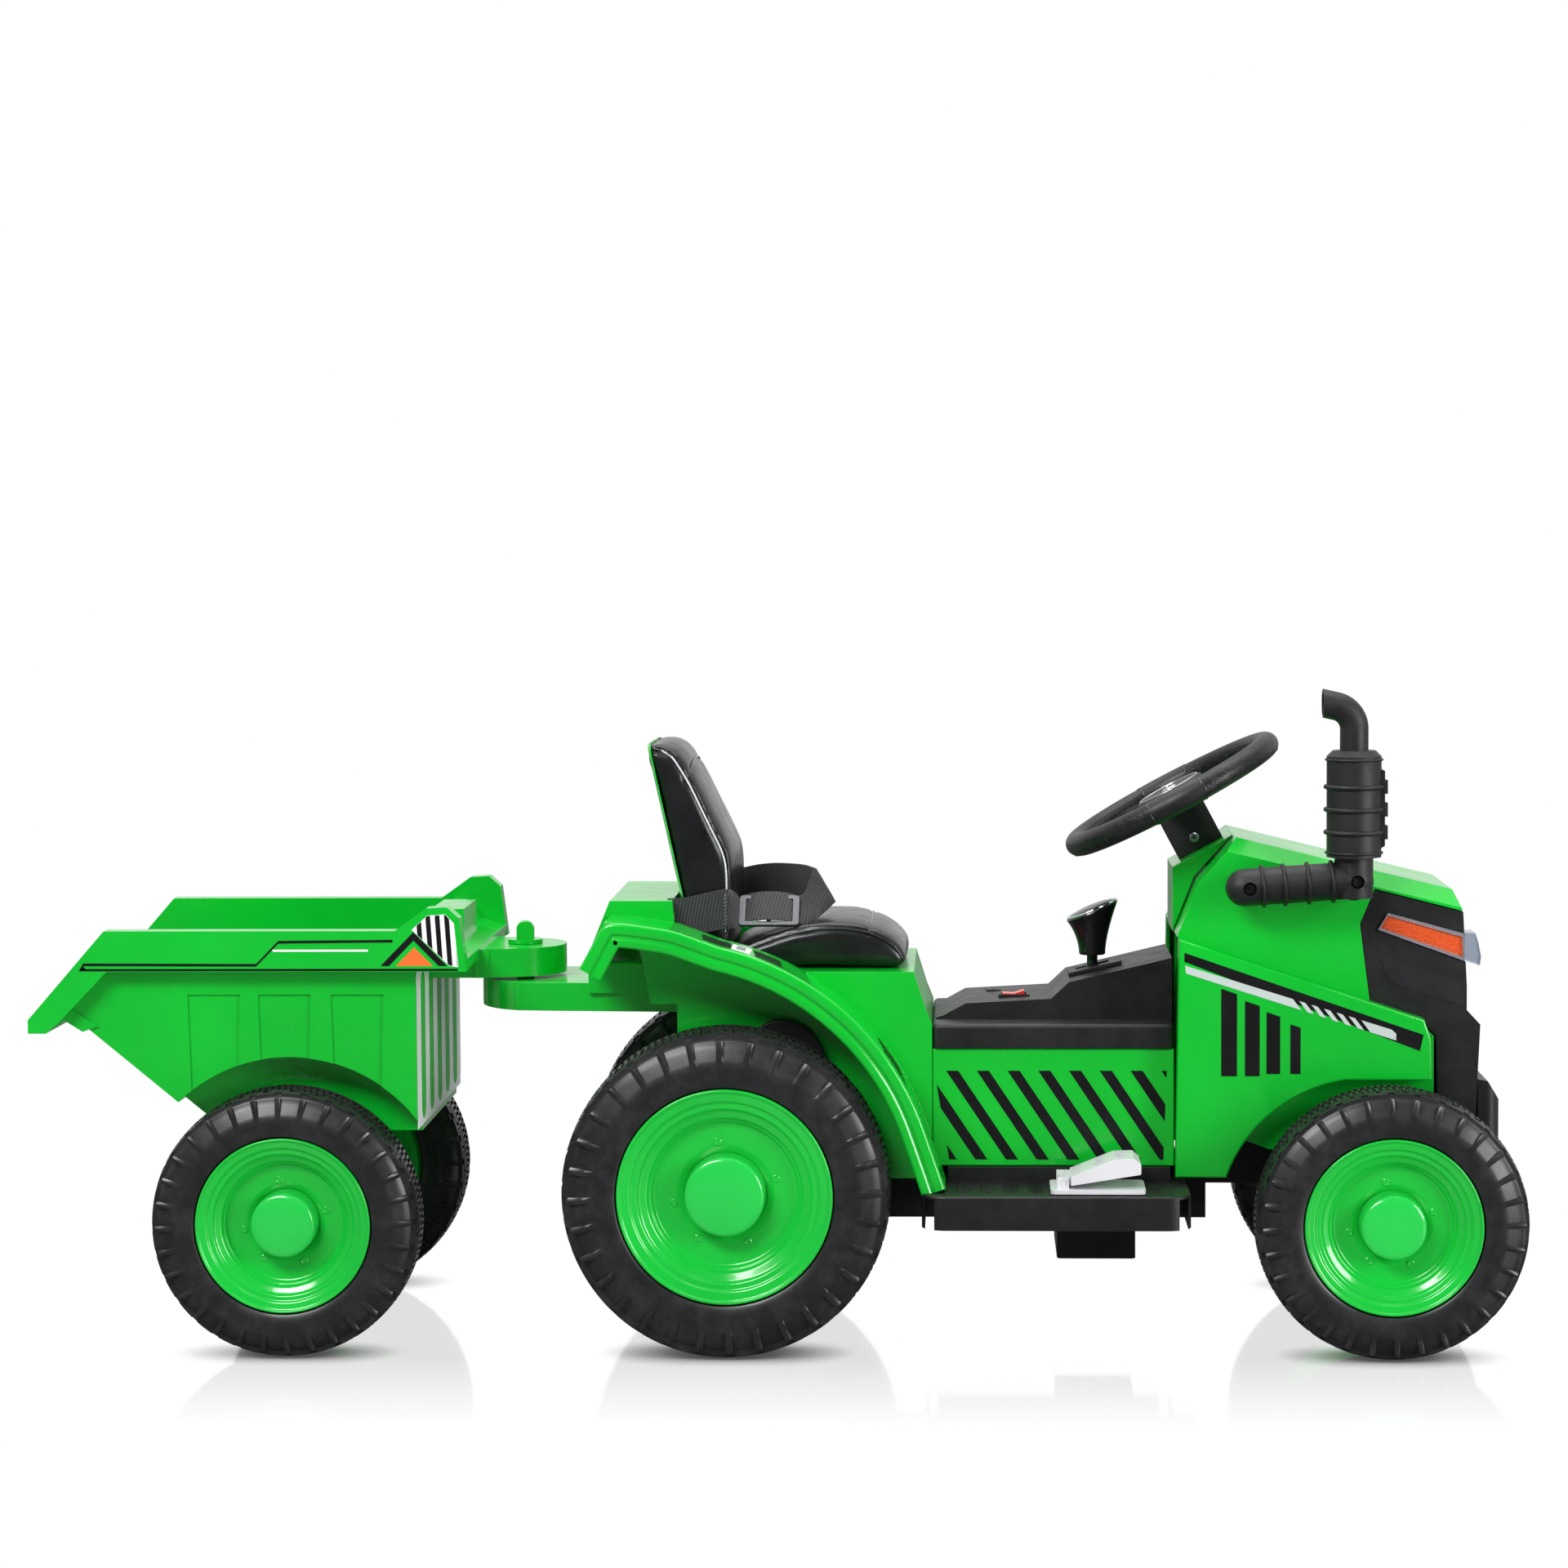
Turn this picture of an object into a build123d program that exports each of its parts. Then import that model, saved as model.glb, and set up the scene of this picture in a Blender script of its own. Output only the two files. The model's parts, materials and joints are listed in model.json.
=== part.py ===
from build123d import *
import os
from math import cos, radians, sin

# Battery ride-on toy tractor with a two-wheel trailer on a drop-in hitch pin.
# Millimetres. +X points forward, +Y to the driver's left and +Z up.
# The origin is on the floor under the middle of the whole outfit.

os.makedirs("parts", exist_ok=True)

# ---- driving dimensions ------------------------------------------------------
wall = 3.0                       # moulded plastic wall
fit = 0.06                       # radial clearance of a running fit
gap = 0.3                        # clearance between pieces that only meet

tread_outer_y = 200.0            # outer face of every tyre
rear_wheel_x, rear_wheel_r = -41.0, 145.0
front_wheel_x, small_wheel_r = 541.0, 119.0
trailer_wheel_x = -430.0
axle_r = 6.0
axle_half = 186.0

body_half = 98.0                 # half-width of the narrow middle body
fender_half = 165.0
deck_z = 396.0
seat_top_z = 332.0
floor_top_z = 144.0              # top of footboards and chassis pan
console_z = 263.0                # lower edge of the console
dash_x = 356.0                   # where the console ends and the hood begins

kingpin_y = 112.0
kingpin_r = 5.0
knuckle_arm = 67.0               # kingpin to tie-rod pivot
crank_arm = 34.0                 # steering column to its drag pin
column_r = 5.0
column_tilt = 28.0               # steering wheel plane above horizontal
wheel_centre = (358.5, 0, 484)
column_length = 365.0            # wheel centre to the crank
rim_major, rim_minor = 97.5, 10.5

hitch_x = -235.0
hitch_pin_r = 8.0
tub_half = 150.0
tub_wall = 4.0
tub_floor_z = 192.0
tub_front_x = -316.0
arch_r = 143.0                   # wheel arch of the trailer tub
arch_half = 117.0                # half-width of the tub between its arches

exhaust_y = -122.0
stack_x = 512.0

column = Plane(
    origin=wheel_centre,
    x_dir=(cos(radians(column_tilt)), 0, sin(radians(column_tilt))),
    z_dir=(-sin(radians(column_tilt)), 0, cos(radians(column_tilt))),
)


# ---- helpers -----------------------------------------------------------------
def save(piece, name):
    """Label a finished piece and write it to its own STEP file."""
    piece.part.label = name
    export_step(piece.part, f"parts/{name}.step")


def side_plate(points, y_low, y_high, mode=Mode.ADD):
    """Add or cut a plate with an X, Z outline between two Y planes."""
    with BuildSketch(Plane.XZ.offset(-y_high)) as outline:
        with BuildLine():
            Polyline(*points, close=True)
        make_face()
    extrude(outline.sketch, amount=y_high - y_low, mode=mode)


def inset_plate(points, inset, y_low, y_high, mode=Mode.SUBTRACT):
    """Add or cut a plate whose outline lies inside the given X, Z outline."""
    with BuildSketch(Plane.XZ.offset(-y_high)) as outline:
        with BuildLine():
            Polyline(*points, close=True)
        make_face()
        offset(amount=-inset, kind=Kind.INTERSECTION, mode=Mode.REPLACE)
    extrude(outline.sketch, amount=y_high - y_low, mode=mode)


def block(x_range, y_range, z_range, mode=Mode.ADD):
    """Add or cut a rectangular block between three pairs of limits."""
    ranges = (x_range, y_range, z_range)
    with Locations(tuple((low + high) / 2 for low, high in ranges)):
        Box(*(high - low for low, high in ranges), mode=mode)


def cross_rod(x, z, radius, y_low, y_high, mode=Mode.ADD):
    """Add or cut a cylinder along Y."""
    with Locations(Location((x, (y_low + y_high) / 2, z), (90, 0, 0))):
        Cylinder(radius, y_high - y_low, mode=mode)


def post(x, y, radius, z_low, z_high, mode=Mode.ADD):
    """Add or cut a cylinder along Z."""
    with Locations((x, y, (z_low + z_high) / 2)):
        Cylinder(radius, z_high - z_low, mode=mode)


def turned(x, z, side, points, mode=Mode.ADD):
    """Revolve a (distance from the middle, radius) outline about a cross axle."""
    axle = Plane(origin=(x, 0, z), x_dir=(0, side, 0), z_dir=(side, 0, 0))
    with BuildSketch(axle) as outline:
        with BuildLine():
            Polyline(*points, close=True)
        make_face()
    revolve(outline.sketch, axis=Axis((x, 0, z), (0, 1, 0)), mode=mode)


# ---- wheels ------------------------------------------------------------------
def wheel(name, x, radius, side, inner_y, bead_r, cap_r):
    """Write the tyre, rim and hub cap of one wheel."""
    shoulder = radius - 4.5
    half_way = (inner_y + tread_outer_y) / 2
    with BuildPart() as tyre:
        turned(x, radius, side, [
            (inner_y + 8, bead_r), (inner_y, bead_r + 10), (inner_y, shoulder - 12),
            (inner_y + 9, shoulder), (half_way - 14, radius), (half_way + 14, radius),
            (tread_outer_y - 9, shoulder), (tread_outer_y, shoulder - 12),
            (tread_outer_y, bead_r + 12), (tread_outer_y - 5, bead_r)])
    save(tyre, f"tyre_{name}")

    face_y = 180.0
    hub_inner_y = inner_y + 1 if x != rear_wheel_x else 113.0
    with BuildPart() as rim:
        turned(x, radius, side, [
            (hub_inner_y, axle_r + fit), (face_y, axle_r + fit), (face_y, 20),
            (173, 24), (173, cap_r + 22), (183, bead_r - 22), (185, bead_r - 13),
            (190, bead_r - 11), (191, bead_r - 4), (195, bead_r - 3),
            (195, bead_r - 0.1), (inner_y + 8, bead_r - 0.1), (inner_y + 8, bead_r - 4),
            (175, bead_r - 16), (167, cap_r + 20), (167, 19), (hub_inner_y, 17)])
    save(rim, f"rim_{name}")

    with BuildPart() as hub_cap:
        turned(x, radius, side, [
            (173.2, cap_r - 2.5), (173.2, cap_r), (193, cap_r), (196.5, cap_r - 2.5),
            (198.5, cap_r - 9), (199.5, 0), (196.5, 0), (195.5, cap_r - 10),
            (191.5, cap_r - 2.5)])
    save(hub_cap, f"hub_cap_{name}")


for side_name, side in (("left", 1), ("right", -1)):
    wheel(f"rear_{side_name}", rear_wheel_x, rear_wheel_r, side, 115.0, 96.0, 36.0)
    wheel(f"front_{side_name}", front_wheel_x, small_wheel_r, side, 127.0, 78.0, 29.0)
    wheel(f"trailer_{side_name}", trailer_wheel_x, small_wheel_r, side, 127.0, 78.0, 29.0)

# ---- chassis -----------------------------------------------------------------
pan_half = 75.0
pan_rear_x, pan_front_x = -84.0, 385.0
nose_half = 60.0
nose_front_x = 594.0
nose_z = 176.0
pan_floor_z = 107.0

with BuildPart() as chassis_pan:
    block((pan_rear_x, pan_front_x), (-pan_half, pan_half), (pan_floor_z, floor_top_z))
    block((pan_rear_x + wall, pan_front_x - wall), (-pan_half + wall, pan_half - wall),
          (pan_floor_z + wall, floor_top_z), Mode.SUBTRACT)
    for y in (-pan_half, pan_half - 6):
        block((rear_wheel_x - 20, rear_wheel_x + 20), (y, y + 6), (pan_floor_z, 168))
    # Raised nose: an upside-down channel that stands on the front axle beam.
    block((pan_front_x - wall, nose_front_x), (-nose_half, nose_half), (136, nose_z))
    block((pan_front_x, nose_front_x + 1), (-nose_half + wall, nose_half - wall),
          (135, nose_z - wall), Mode.SUBTRACT)
    block((256, 319), (-53, 53), (pan_floor_z - 1, pan_floor_z + wall + 1), Mode.SUBTRACT)
    cross_rod(rear_wheel_x, rear_wheel_r, axle_r, -pan_half - 1, pan_half + 1, Mode.SUBTRACT)
    with Locations(column.location * Location((0, 0, -column_length / 2 - 10))):
        Cylinder(column_r + 3, column_length, mode=Mode.SUBTRACT)
save(chassis_pan, "chassis_pan")

with BuildPart() as rear_axle:
    cross_rod(rear_wheel_x, rear_wheel_r, axle_r, -axle_half, axle_half)
    for side in (-1, 1):
        turned(rear_wheel_x, rear_wheel_r, side,
               [(180 + gap, axle_r - 1), (180 + gap, 11), (184, 11), (189, 7), (189, 0),
                (185, 0), (185, axle_r - 1)])
    # Spacer sleeve between the left chassis lug and the left wheel.
    cross_rod(rear_wheel_x, rear_wheel_r, 10, pan_half + gap, 113 - gap)
save(rear_axle, "rear_axle")

with BuildPart() as gear_motor:
    # Flat gear case on the right: a slanted capsule from the motor to the axle.
    with BuildSketch(Plane.XZ.offset(100)) as case_outline:
        with Locations((7, 253)):
            Circle(37)
        with Locations((rear_wheel_x, rear_wheel_r)):
            Circle(44)
        make_hull()
    extrude(case_outline.sketch, amount=12.4)
    cross_rod(7, 253, 18.5, -100, -40)
    cross_rod(7, 253, 6, -40, -36)
    cross_rod(rear_wheel_x, rear_wheel_r, 14, -100, -pan_half - gap)
    cross_rod(rear_wheel_x, rear_wheel_r, axle_r, -113, -70, Mode.SUBTRACT)
save(gear_motor, "gear_motor")

# ---- rear body with fenders --------------------------------------------------
fender_outer = [(-147, 383), (-125, 382), (-86, 376), (-45, 361)]
fender_tail = [(139, 147), (128, 191), (114, 227)]
deck_outline = [
    (-88, 348), (-88, 146), (140, 146), (140, 285), (134, 300), (124, seat_top_z),
    (-86, seat_top_z), (-92, deck_z), (-148, deck_z), (-170, 342), (-150, 366), (-100, 366)]

with BuildPart() as rear_body:
    side_plate(deck_outline, -body_half - 1, body_half + 1)
    # Hollows under the seat pedestal and under the deck behind it.
    for hollow_outline in (
            [(-85, 145), (137, 145), (137, 284), (131, 299), (121, 329), (-83, 329)],
            [(-146, 360), (-146, 392.5), (-95, 392.5), (-91, 352), (-91, 360)]):
        side_plate(hollow_outline, -body_half + 2, body_half - 2, Mode.SUBTRACT)
    for side in (-1, 1):
        low, high = sorted((side * (body_half + gap), side * fender_half))
        with BuildSketch(Plane.XZ.offset(-high)) as fender:
            with BuildLine():
                Polyline((-170, 341), *fender_outer)
                ThreePointArc((-45, 361), (65, 304), (134, 199))
                Polyline((134, 199), (152, 147), *fender_tail)
                ThreePointArc((114, 227), (50, 304), (-45, 349))
                Polyline((-45, 349), (-86, 363), (-114, 368), (-150, 368), (-170, 341))
            make_face()
        extrude(fender.sketch, amount=high - low)
        # Inner wheel-well wall under the fender, and its hanging rear bracket.
        low, high = sorted((side * (body_half - 2), side * (body_half + 1)))
        side_plate([(-88, 325), (-88, 370), (-45, 355), (-4, 341), (30, 325)], low, high)
        low, high = sorted((side * 84, side * (body_half + 1)))
        side_plate([(-86, 303), (-112, 303), (-124, 368), (-86, 368)], low, high)
        # Hollow of the fender, open underneath, behind the outer lip.
        low, high = sorted((side * (body_half + 1), side * (fender_half - 3)))
        with BuildSketch(Plane.XZ.offset(-high)) as hollow:
            with BuildLine():
                Polyline((-168, 330), (-146, 379), (-125, 378), (-86, 372), (-45, 357))
                ThreePointArc((-45, 357), (62.5, 301), (130.5, 198))
                Polyline((130.5, 198), (147, 140), (60, 140), (-168, 330))
            make_face()
        extrude(hollow.sketch, amount=high - low, mode=Mode.SUBTRACT)
    # Holes for the axle and the motor.
    cross_rod(rear_wheel_x, rear_wheel_r, 15, -101, 101, Mode.SUBTRACT)
    cross_rod(7, 253, 19.5, -101, -90, Mode.SUBTRACT)
    block((rear_wheel_x - 15, rear_wheel_x + 15), (-101, 101), (140, 146), Mode.SUBTRACT)
save(rear_body, "rear_body")

# ---- hitch plate and pin -----------------------------------------------------
with BuildPart() as hitch_plate:
    with BuildSketch(Plane.XY.offset(293)) as plate:
        with BuildLine():
            Polyline((-88 - gap, -75), (-200, -66), (-236, -62))
            ThreePointArc((-236, -62), (-274, 0), (-236, 62))
            Polyline((-236, 62), (-200, 66), (-88 - gap, 75), (-88 - gap, -75))
        make_face()
    extrude(plate.sketch, amount=26)
    block((-170, -88 - gap), (-74, 74), (310, 339))
    fillet(hitch_plate.edges().group_by(Axis.Z)[-1], 3)
    block((-166, -92), (-62, 62), (292, 335), Mode.SUBTRACT)
    post(hitch_x, 0, hitch_pin_r + fit, 290, 322, Mode.SUBTRACT)
save(hitch_plate, "hitch_plate")

with BuildPart() as hitch_pin:
    post(hitch_x, 0, hitch_pin_r, 290, 349)
    post(hitch_x, 0, 16, 348 + gap, 352)
    with BuildSketch(Plane.XZ.offset(-3)) as tab:
        with Locations((hitch_x, 357)):
            Rectangle(16, 12)
        with Locations((hitch_x, 361)):
            Circle(8)
    extrude(tab.sketch, amount=6)
    fillet(hitch_pin.edges().group_by(Axis.Z)[-1], 1.5)
save(hitch_pin, "hitch_pin")

# ---- middle body, console and footboards --------------------------------------
with BuildPart() as mid_body:
    block((140 + gap, dash_x - gap), (-body_half, body_half), (157 + gap, console_z))
    block((143, dash_x - wall), (-body_half + wall, body_half - wall), (150, 270), Mode.SUBTRACT)
save(mid_body, "mid_body")

hump_rear, hump_front = 263.0, dash_x - gap
hump_rear_z, hump_front_z = 318.0, 340.0
hump_slope = (hump_front_z - hump_rear_z) / (hump_front - hump_rear)
hump_outline = [(143, 280), (143, 286), (150, 288), (170, 299), (247, 303),
                (hump_rear, hump_rear_z), (hump_front, hump_front_z), (hump_front, 280)]
lever_x = 286.0
lever_pivot_z = 296.0
rocker_x, rocker_y, rocker_z = 214.0, -22.0, 299.0
socket_x, socket_y, socket_r = 196.0, 28.0, 2.8
socket_top_z = 301.5

with BuildPart() as centre_console:
    block((140 + gap, hump_front), (-100, 100), (console_z + 0.2, 285))
    fillet(centre_console.edges().filter_by(Axis.Z), 6)
    fillet(centre_console.edges().group_by(Axis.Z)[-1], 4)
    side_plate(hump_outline, -60, 60)
    block((144, hump_front - wall), (-97, 97), (console_z, 282), Mode.SUBTRACT)
    inset_plate(hump_outline, wall, -57, 57)
    block((160, hump_front - wall), (-57, 57), (279, 286), Mode.SUBTRACT)
    # Lever bearings, rocker seat and charging socket under the top skin.
    for y in (-17, 11):
        block((lever_x - 9, lever_x + 9), (y, y + 6), (286, 320.5))
    cross_rod(lever_x, lever_pivot_z, 4 + fit, -18, 18, Mode.SUBTRACT)
    block((lever_x - 15, lever_x + 15), (-7, 7), (305, 345), Mode.SUBTRACT)
    block((rocker_x - 14, rocker_x + 14), (rocker_y - 10, rocker_y + 10), (rocker_z, rocker_z + 4.5))
    block((rocker_x - 11.4, rocker_x + 11.4), (rocker_y - 7.4, rocker_y + 7.4),
          (rocker_z - 8, rocker_z + 6), Mode.SUBTRACT)
    post(socket_x, socket_y, 7, socket_top_z - 9.5, socket_top_z)
    post(socket_x, socket_y, socket_r, socket_top_z - 12, socket_top_z + 1, Mode.SUBTRACT)
save(centre_console, "centre_console")

with BuildPart() as shifter_gate:
    gate_rear, gate_front = 264.0, 312.0
    gate_low = hump_rear_z + hump_slope * (gate_rear - hump_rear)
    gate_high = hump_rear_z + hump_slope * (gate_front - hump_rear)
    side_plate([(gate_rear, gate_low), (gate_front, gate_high), (gate_front, gate_high + 4),
                (gate_rear, gate_low + 4)], -22, 22)
    block((lever_x - 15, lever_x + 15), (-7, 7), (310, 345), Mode.SUBTRACT)
save(shifter_gate, "shifter_gate")

with BuildPart() as gear_lever:
    cross_rod(lever_x, lever_pivot_z, 4, -17, 17)
    cross_rod(lever_x, lever_pivot_z, 8, -10.5, 10.5)
    post(lever_x, 0, 5, lever_pivot_z, 350)
    with BuildSketch(Plane.XZ) as knob:
        with BuildLine():
            Polyline((lever_x, 337), (lever_x + 12, 337), (lever_x + 12.5, 343))
            ThreePointArc((lever_x + 12.5, 343), (lever_x + 16.5, 360), (lever_x + 23.5, 374))
            ThreePointArc((lever_x + 23.5, 374), (lever_x + 23, 383), (lever_x + 16, 389))
            Polyline((lever_x + 16, 389), (lever_x + 8, 391), (lever_x, 391), (lever_x, 337))
        make_face()
    revolve(knob.sketch, axis=Axis((lever_x, 0, 0), (0, 0, 1)))
save(gear_lever, "gear_lever")

with BuildPart() as rocker_switch:
    # The front end slopes back, so that it clears its frame as it is pressed in.
    side_plate([(rocker_x - 10.6, rocker_z + 5.5), (rocker_x - 10.6, rocker_z - 1),
                (rocker_x - 6, rocker_z - 5), (rocker_x + 6, rocker_z - 5),
                (rocker_x + 10.6, rocker_z - 1), (rocker_x + 9.2, rocker_z + 8),
                (rocker_x, rocker_z + 5)], rocker_y - 7, rocker_y + 7)
    cross_rod(rocker_x, rocker_z, 2, rocker_y - 7.3, rocker_y + 7.3)
save(rocker_switch, "rocker_switch")

for side_name, side in (("left", 1), ("right", -1)):
    low, high = sorted((side * (pan_half + gap), side * 185))
    with BuildPart() as footboard:
        block((131, 367), (low, high), (114, floor_top_z))
        outer_corners = footboard.edges().filter_by(Axis.Z).sort_by(Axis.Y)
        fillet(outer_corners[-2:] if side > 0 else outer_corners[:2], 22)
        fillet(footboard.edges().group_by(Axis.Z)[-1], 2)
        block((134, 364), (low + wall, high - wall), (113, floor_top_z - wall), Mode.SUBTRACT)
        # Riser along the body, and the diagonal anti-slip bars.
        riser_low, riser_high = sorted((side * 92, side * 105))
        block((154, 352), (riser_low, riser_high), (floor_top_z - 1, 157))
        for group_x in (168, 189, 210, 231, 335) if side < 0 else range(168, 337, 21):
            for row in range(4):
                with Locations(Location((group_x, side * (116 + 14 * row), floor_top_z), (0, 0, 45))):
                    with GridLocations(0, 7, 1, 2):
                        Box(10, 2, 1.6)
        # Ribs that carry the tread plate.
        for rib_x in (190, 250, 310):
            block((rib_x, rib_x + 2), (low + 1, high - 1), (120, floor_top_z - 2))
    save(footboard, f"footboard_{side_name}")

# ---- accelerator pedal ---------------------------------------------------------
pedal_hinge_x, pedal_hinge_z = 255.0, 154.0
with BuildPart() as pedal_base:
    block((244, 327), (-178, -122), (floor_top_z + 1, 149))
    fillet(pedal_base.edges().filter_by(Axis.Z), 5)
    for y in (-172, -132):
        block((pedal_hinge_x - 5, pedal_hinge_x + 5), (y, y + 4), (147, 159))
    cross_rod(pedal_hinge_x, pedal_hinge_z, 2.5 + fit, -173, -127, Mode.SUBTRACT)
save(pedal_base, "pedal_base")

with BuildPart() as pedal:
    side_plate([(258, 151.5), (323, 162), (323, 171), (317, 176), (300, 175.5), (258, 158.5)],
               -175, -125)
    fillet(pedal.edges().filter_by(Axis.Y), 1.5)
    block((240, 262), (-176, -167.5), (140, 180), Mode.SUBTRACT)
    block((240, 262), (-132.5, -124), (140, 180), Mode.SUBTRACT)
    cross_rod(pedal_hinge_x, pedal_hinge_z, 4.2, -167.5, -132.5)
    cross_rod(pedal_hinge_x, pedal_hinge_z, 2.5, -171.5, -128.5)
save(pedal, "pedal")

# ---- battery -------------------------------------------------------------------
with BuildPart() as battery_box:
    block((252, 323), (-58, 58), (66, pan_floor_z - 0.2))
    fillet(battery_box.edges().filter_by(Axis.Z), 4)
    block((255, 320), (-55, 55), (69, pan_floor_z + 1), Mode.SUBTRACT)
save(battery_box, "battery_box")

with BuildPart() as battery:
    block((262, 309), (-50.5, 50.5), (69 + gap, 136))
    fillet(battery.edges().filter_by(Axis.Z), 2)
    for y in (-36, 36):
        block((280, 291), (y - 1, y + 1), (136, 142))
save(battery, "battery")

# ---- hood ----------------------------------------------------------------------
hood_half = 97.0
hood_top = [(358, 363), (378, 411), (412, 450), (604, 403), (611, 385.5)]
hood_outline = hood_top + [(533, 405.5), (520, 374), (529, 305)]
bevel_drop, bevel_width = 13.0, 26.0

with BuildPart() as hood_shell:
    side_plate(hood_outline, -hood_half, hood_half)
    # Roof bevels along both top edges.
    for side in (-1, 1):
        edge = hood_half * side
        inner = (hood_half - bevel_width) * side
        with BuildSketch(Plane.YZ.offset(340)) as rear_bevel:
            with BuildLine():
                Polyline((edge, 450 - bevel_drop), (inner, 452), (edge * 1.1, 500),
                         (edge * 1.1, 450 - bevel_drop), close=True)
            make_face()
        bevel_slope = (450 - 403) / (604 - 412)
        extrude(rear_bevel.sketch.moved(Location((0, 0, 72 * bevel_slope))), amount=300,
                dir=(1, 0, -bevel_slope), mode=Mode.SUBTRACT)
    inset_plate(hood_outline, wall, -hood_half + bevel_width, hood_half - bevel_width)
    lowered = [(358, 355), (378, 396), (412, 432), (604, 385), (611, 370), (533, 390),
               (520, 360), (529, 297)]
    inset_plate(lowered, wall, -hood_half + wall, hood_half - wall)
    side_plate([(366, 345), (372, 366), (523, 315), (526, 300)], -hood_half + wall,
               hood_half - wall, Mode.SUBTRACT)
    # Inner wheel-arch liners that hang from the hood.
    for side in (-1, 1):
        low, high = sorted((side * 91.5, side * 94.5))
        side_plate([(366, 350), (366, 200), (440, 172), (586, 172), (586, 273), (573, 288),
                    (520, 302), (520, 318)], low, high)
    with Locations(column.location * Location((0, 0, -column_length / 2))):
        Cylinder(column_r + 2, column_length, mode=Mode.SUBTRACT)
save(hood_shell, "hood_shell")

with BuildPart() as hood_panels:
    for side in (-1, 1):
        low, high = sorted((side * (hood_half + 0.2), side * 119))
        inner_low, inner_high = sorted((side * (hood_half - 1), side * 116))
        with BuildSketch(Plane.XZ.offset(-high)) as panel:
            with BuildLine():
                Polyline((401, 150), (dash_x, 150), (359, 363), (575, 291), (581, 274), (582, 237),
                         (505, 237))
                ThreePointArc((505, 237), (440, 207), (401, 150))
            make_face()
        extrude(panel.sketch, amount=high - low)
        with BuildSketch(Plane.XZ.offset(-inner_high)) as hollow:
            add(panel.sketch.moved(Location((0, inner_high - high, 0))).face())
            offset(amount=-wall, kind=Kind.INTERSECTION, mode=Mode.REPLACE)
        extrude(hollow.sketch, amount=inner_high - inner_low, mode=Mode.SUBTRACT)
    outer_rims = hood_panels.faces().filter_by(Axis.Y).sort_by(Axis.Y)
    fillet(outer_rims[0].edges() + outer_rims[-1].edges(), 2.5)
save(hood_panels, "hood_panels")

with BuildPart() as dash_binnacle:
    side_plate([(dash_x + 1, 362), (dash_x + 1, 421), (410.5, 450), (376.5, 412)], -45, 45)
    with Locations(column.location * Location((0, 0, -60))):
        Cylinder(column_r + fit, 80, mode=Mode.SUBTRACT)
save(dash_binnacle, "dash_binnacle")

grille_half = 95.0
grille_outline = [(533.5, 404.5), (520.6, 374), (529.6, 305), (575, 289.5), (588, 274), (590, 198),
                  (623, 198), (627, 284), (615, 297), (615, 318), (611.5, 384.5)]
lamp_outline = [(545, 384), (536, 369), (611, 341), (626, 337), (622, 366), (611, 366)]

with BuildPart() as front_grille:
    side_plate(grille_outline, -grille_half, grille_half)
    inset_plate(grille_outline, wall, -grille_half + wall, grille_half - wall)
    block((585, 595), (-grille_half + wall, grille_half - wall), (202, 270), Mode.SUBTRACT)
    # Air slots across the front.
    for slot_z in range(318, 378, 10):
        block((605, 620), (-58, 58), (slot_z, slot_z + 5), Mode.SUBTRACT)
    for slot_z in range(222, 276, 13):
        block((616, 630), (-50, 50), (slot_z, slot_z + 6), Mode.SUBTRACT)
    for side in (-1, 1):
        low, high = sorted((side * 68, side * 98))
        inset_plate(lamp_outline, -0.2, low, high)
        # Pocket wall behind each lamp.
        low, high = sorted((side * 65, side * (68 - gap)))
        side_plate([(540, 386), (533, 366), (612, 338), (612, 368)], low, high)
save(front_grille, "front_grille")

with BuildPart() as headlight_lenses:
    for side in (-1, 1):
        low, high = sorted((side * 68, side * 97.5))
        side_plate(lamp_outline, low, high)
        low, high = sorted((side * 67, side * 94))
        inset_plate(lamp_outline, 2.5, low, high)
save(headlight_lenses, "headlight_lenses")

with BuildPart() as front_bumper:
    side_plate([(594, 150), (640, 150), (648, 168), (648, 212), (637, 230), (628, 232),
                (628, 194), (594, 190)], -72, 72)
    block((590, 624), (-69, 69), (154, 186), Mode.SUBTRACT)
    fillet(front_bumper.faces().sort_by(Axis.X)[-1].edges().filter_by(Axis.Z), 12)
save(front_bumper, "front_bumper")

# ---- exhaust -------------------------------------------------------------------
arm_rear = (416, exhaust_y, 409)
arm_axis = Plane(origin=arm_rear, x_dir=(0, 1, 0), z_dir=(cos(radians(4)), 0, sin(radians(4))))
with BuildPart() as exhaust_arm:
    with Locations(arm_axis.location * Location((0, 0, 48))):
        Cylinder(16.5, 96)
    with Locations(arm_rear):
        Sphere(16.5)
    for ring in (16, 35, 56, 77):
        with Locations(arm_axis.location * Location((0, 0, ring))):
            Cylinder(17.8, 3.5)
    post(stack_x, exhaust_y, 17, 400, 436)
    with Locations((stack_x, exhaust_y, 415)):
        Sphere(17.5)
    for boss_x, boss_z in ((420, 409), (stack_x + 2, 415)):
        cross_rod(boss_x, boss_z, 9, exhaust_y + 10, -hood_half - 0.2)
        cross_rod(boss_x, boss_z, 6, exhaust_y - 18, exhaust_y - 10, Mode.SUBTRACT)
save(exhaust_arm, "exhaust_arm")

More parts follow.
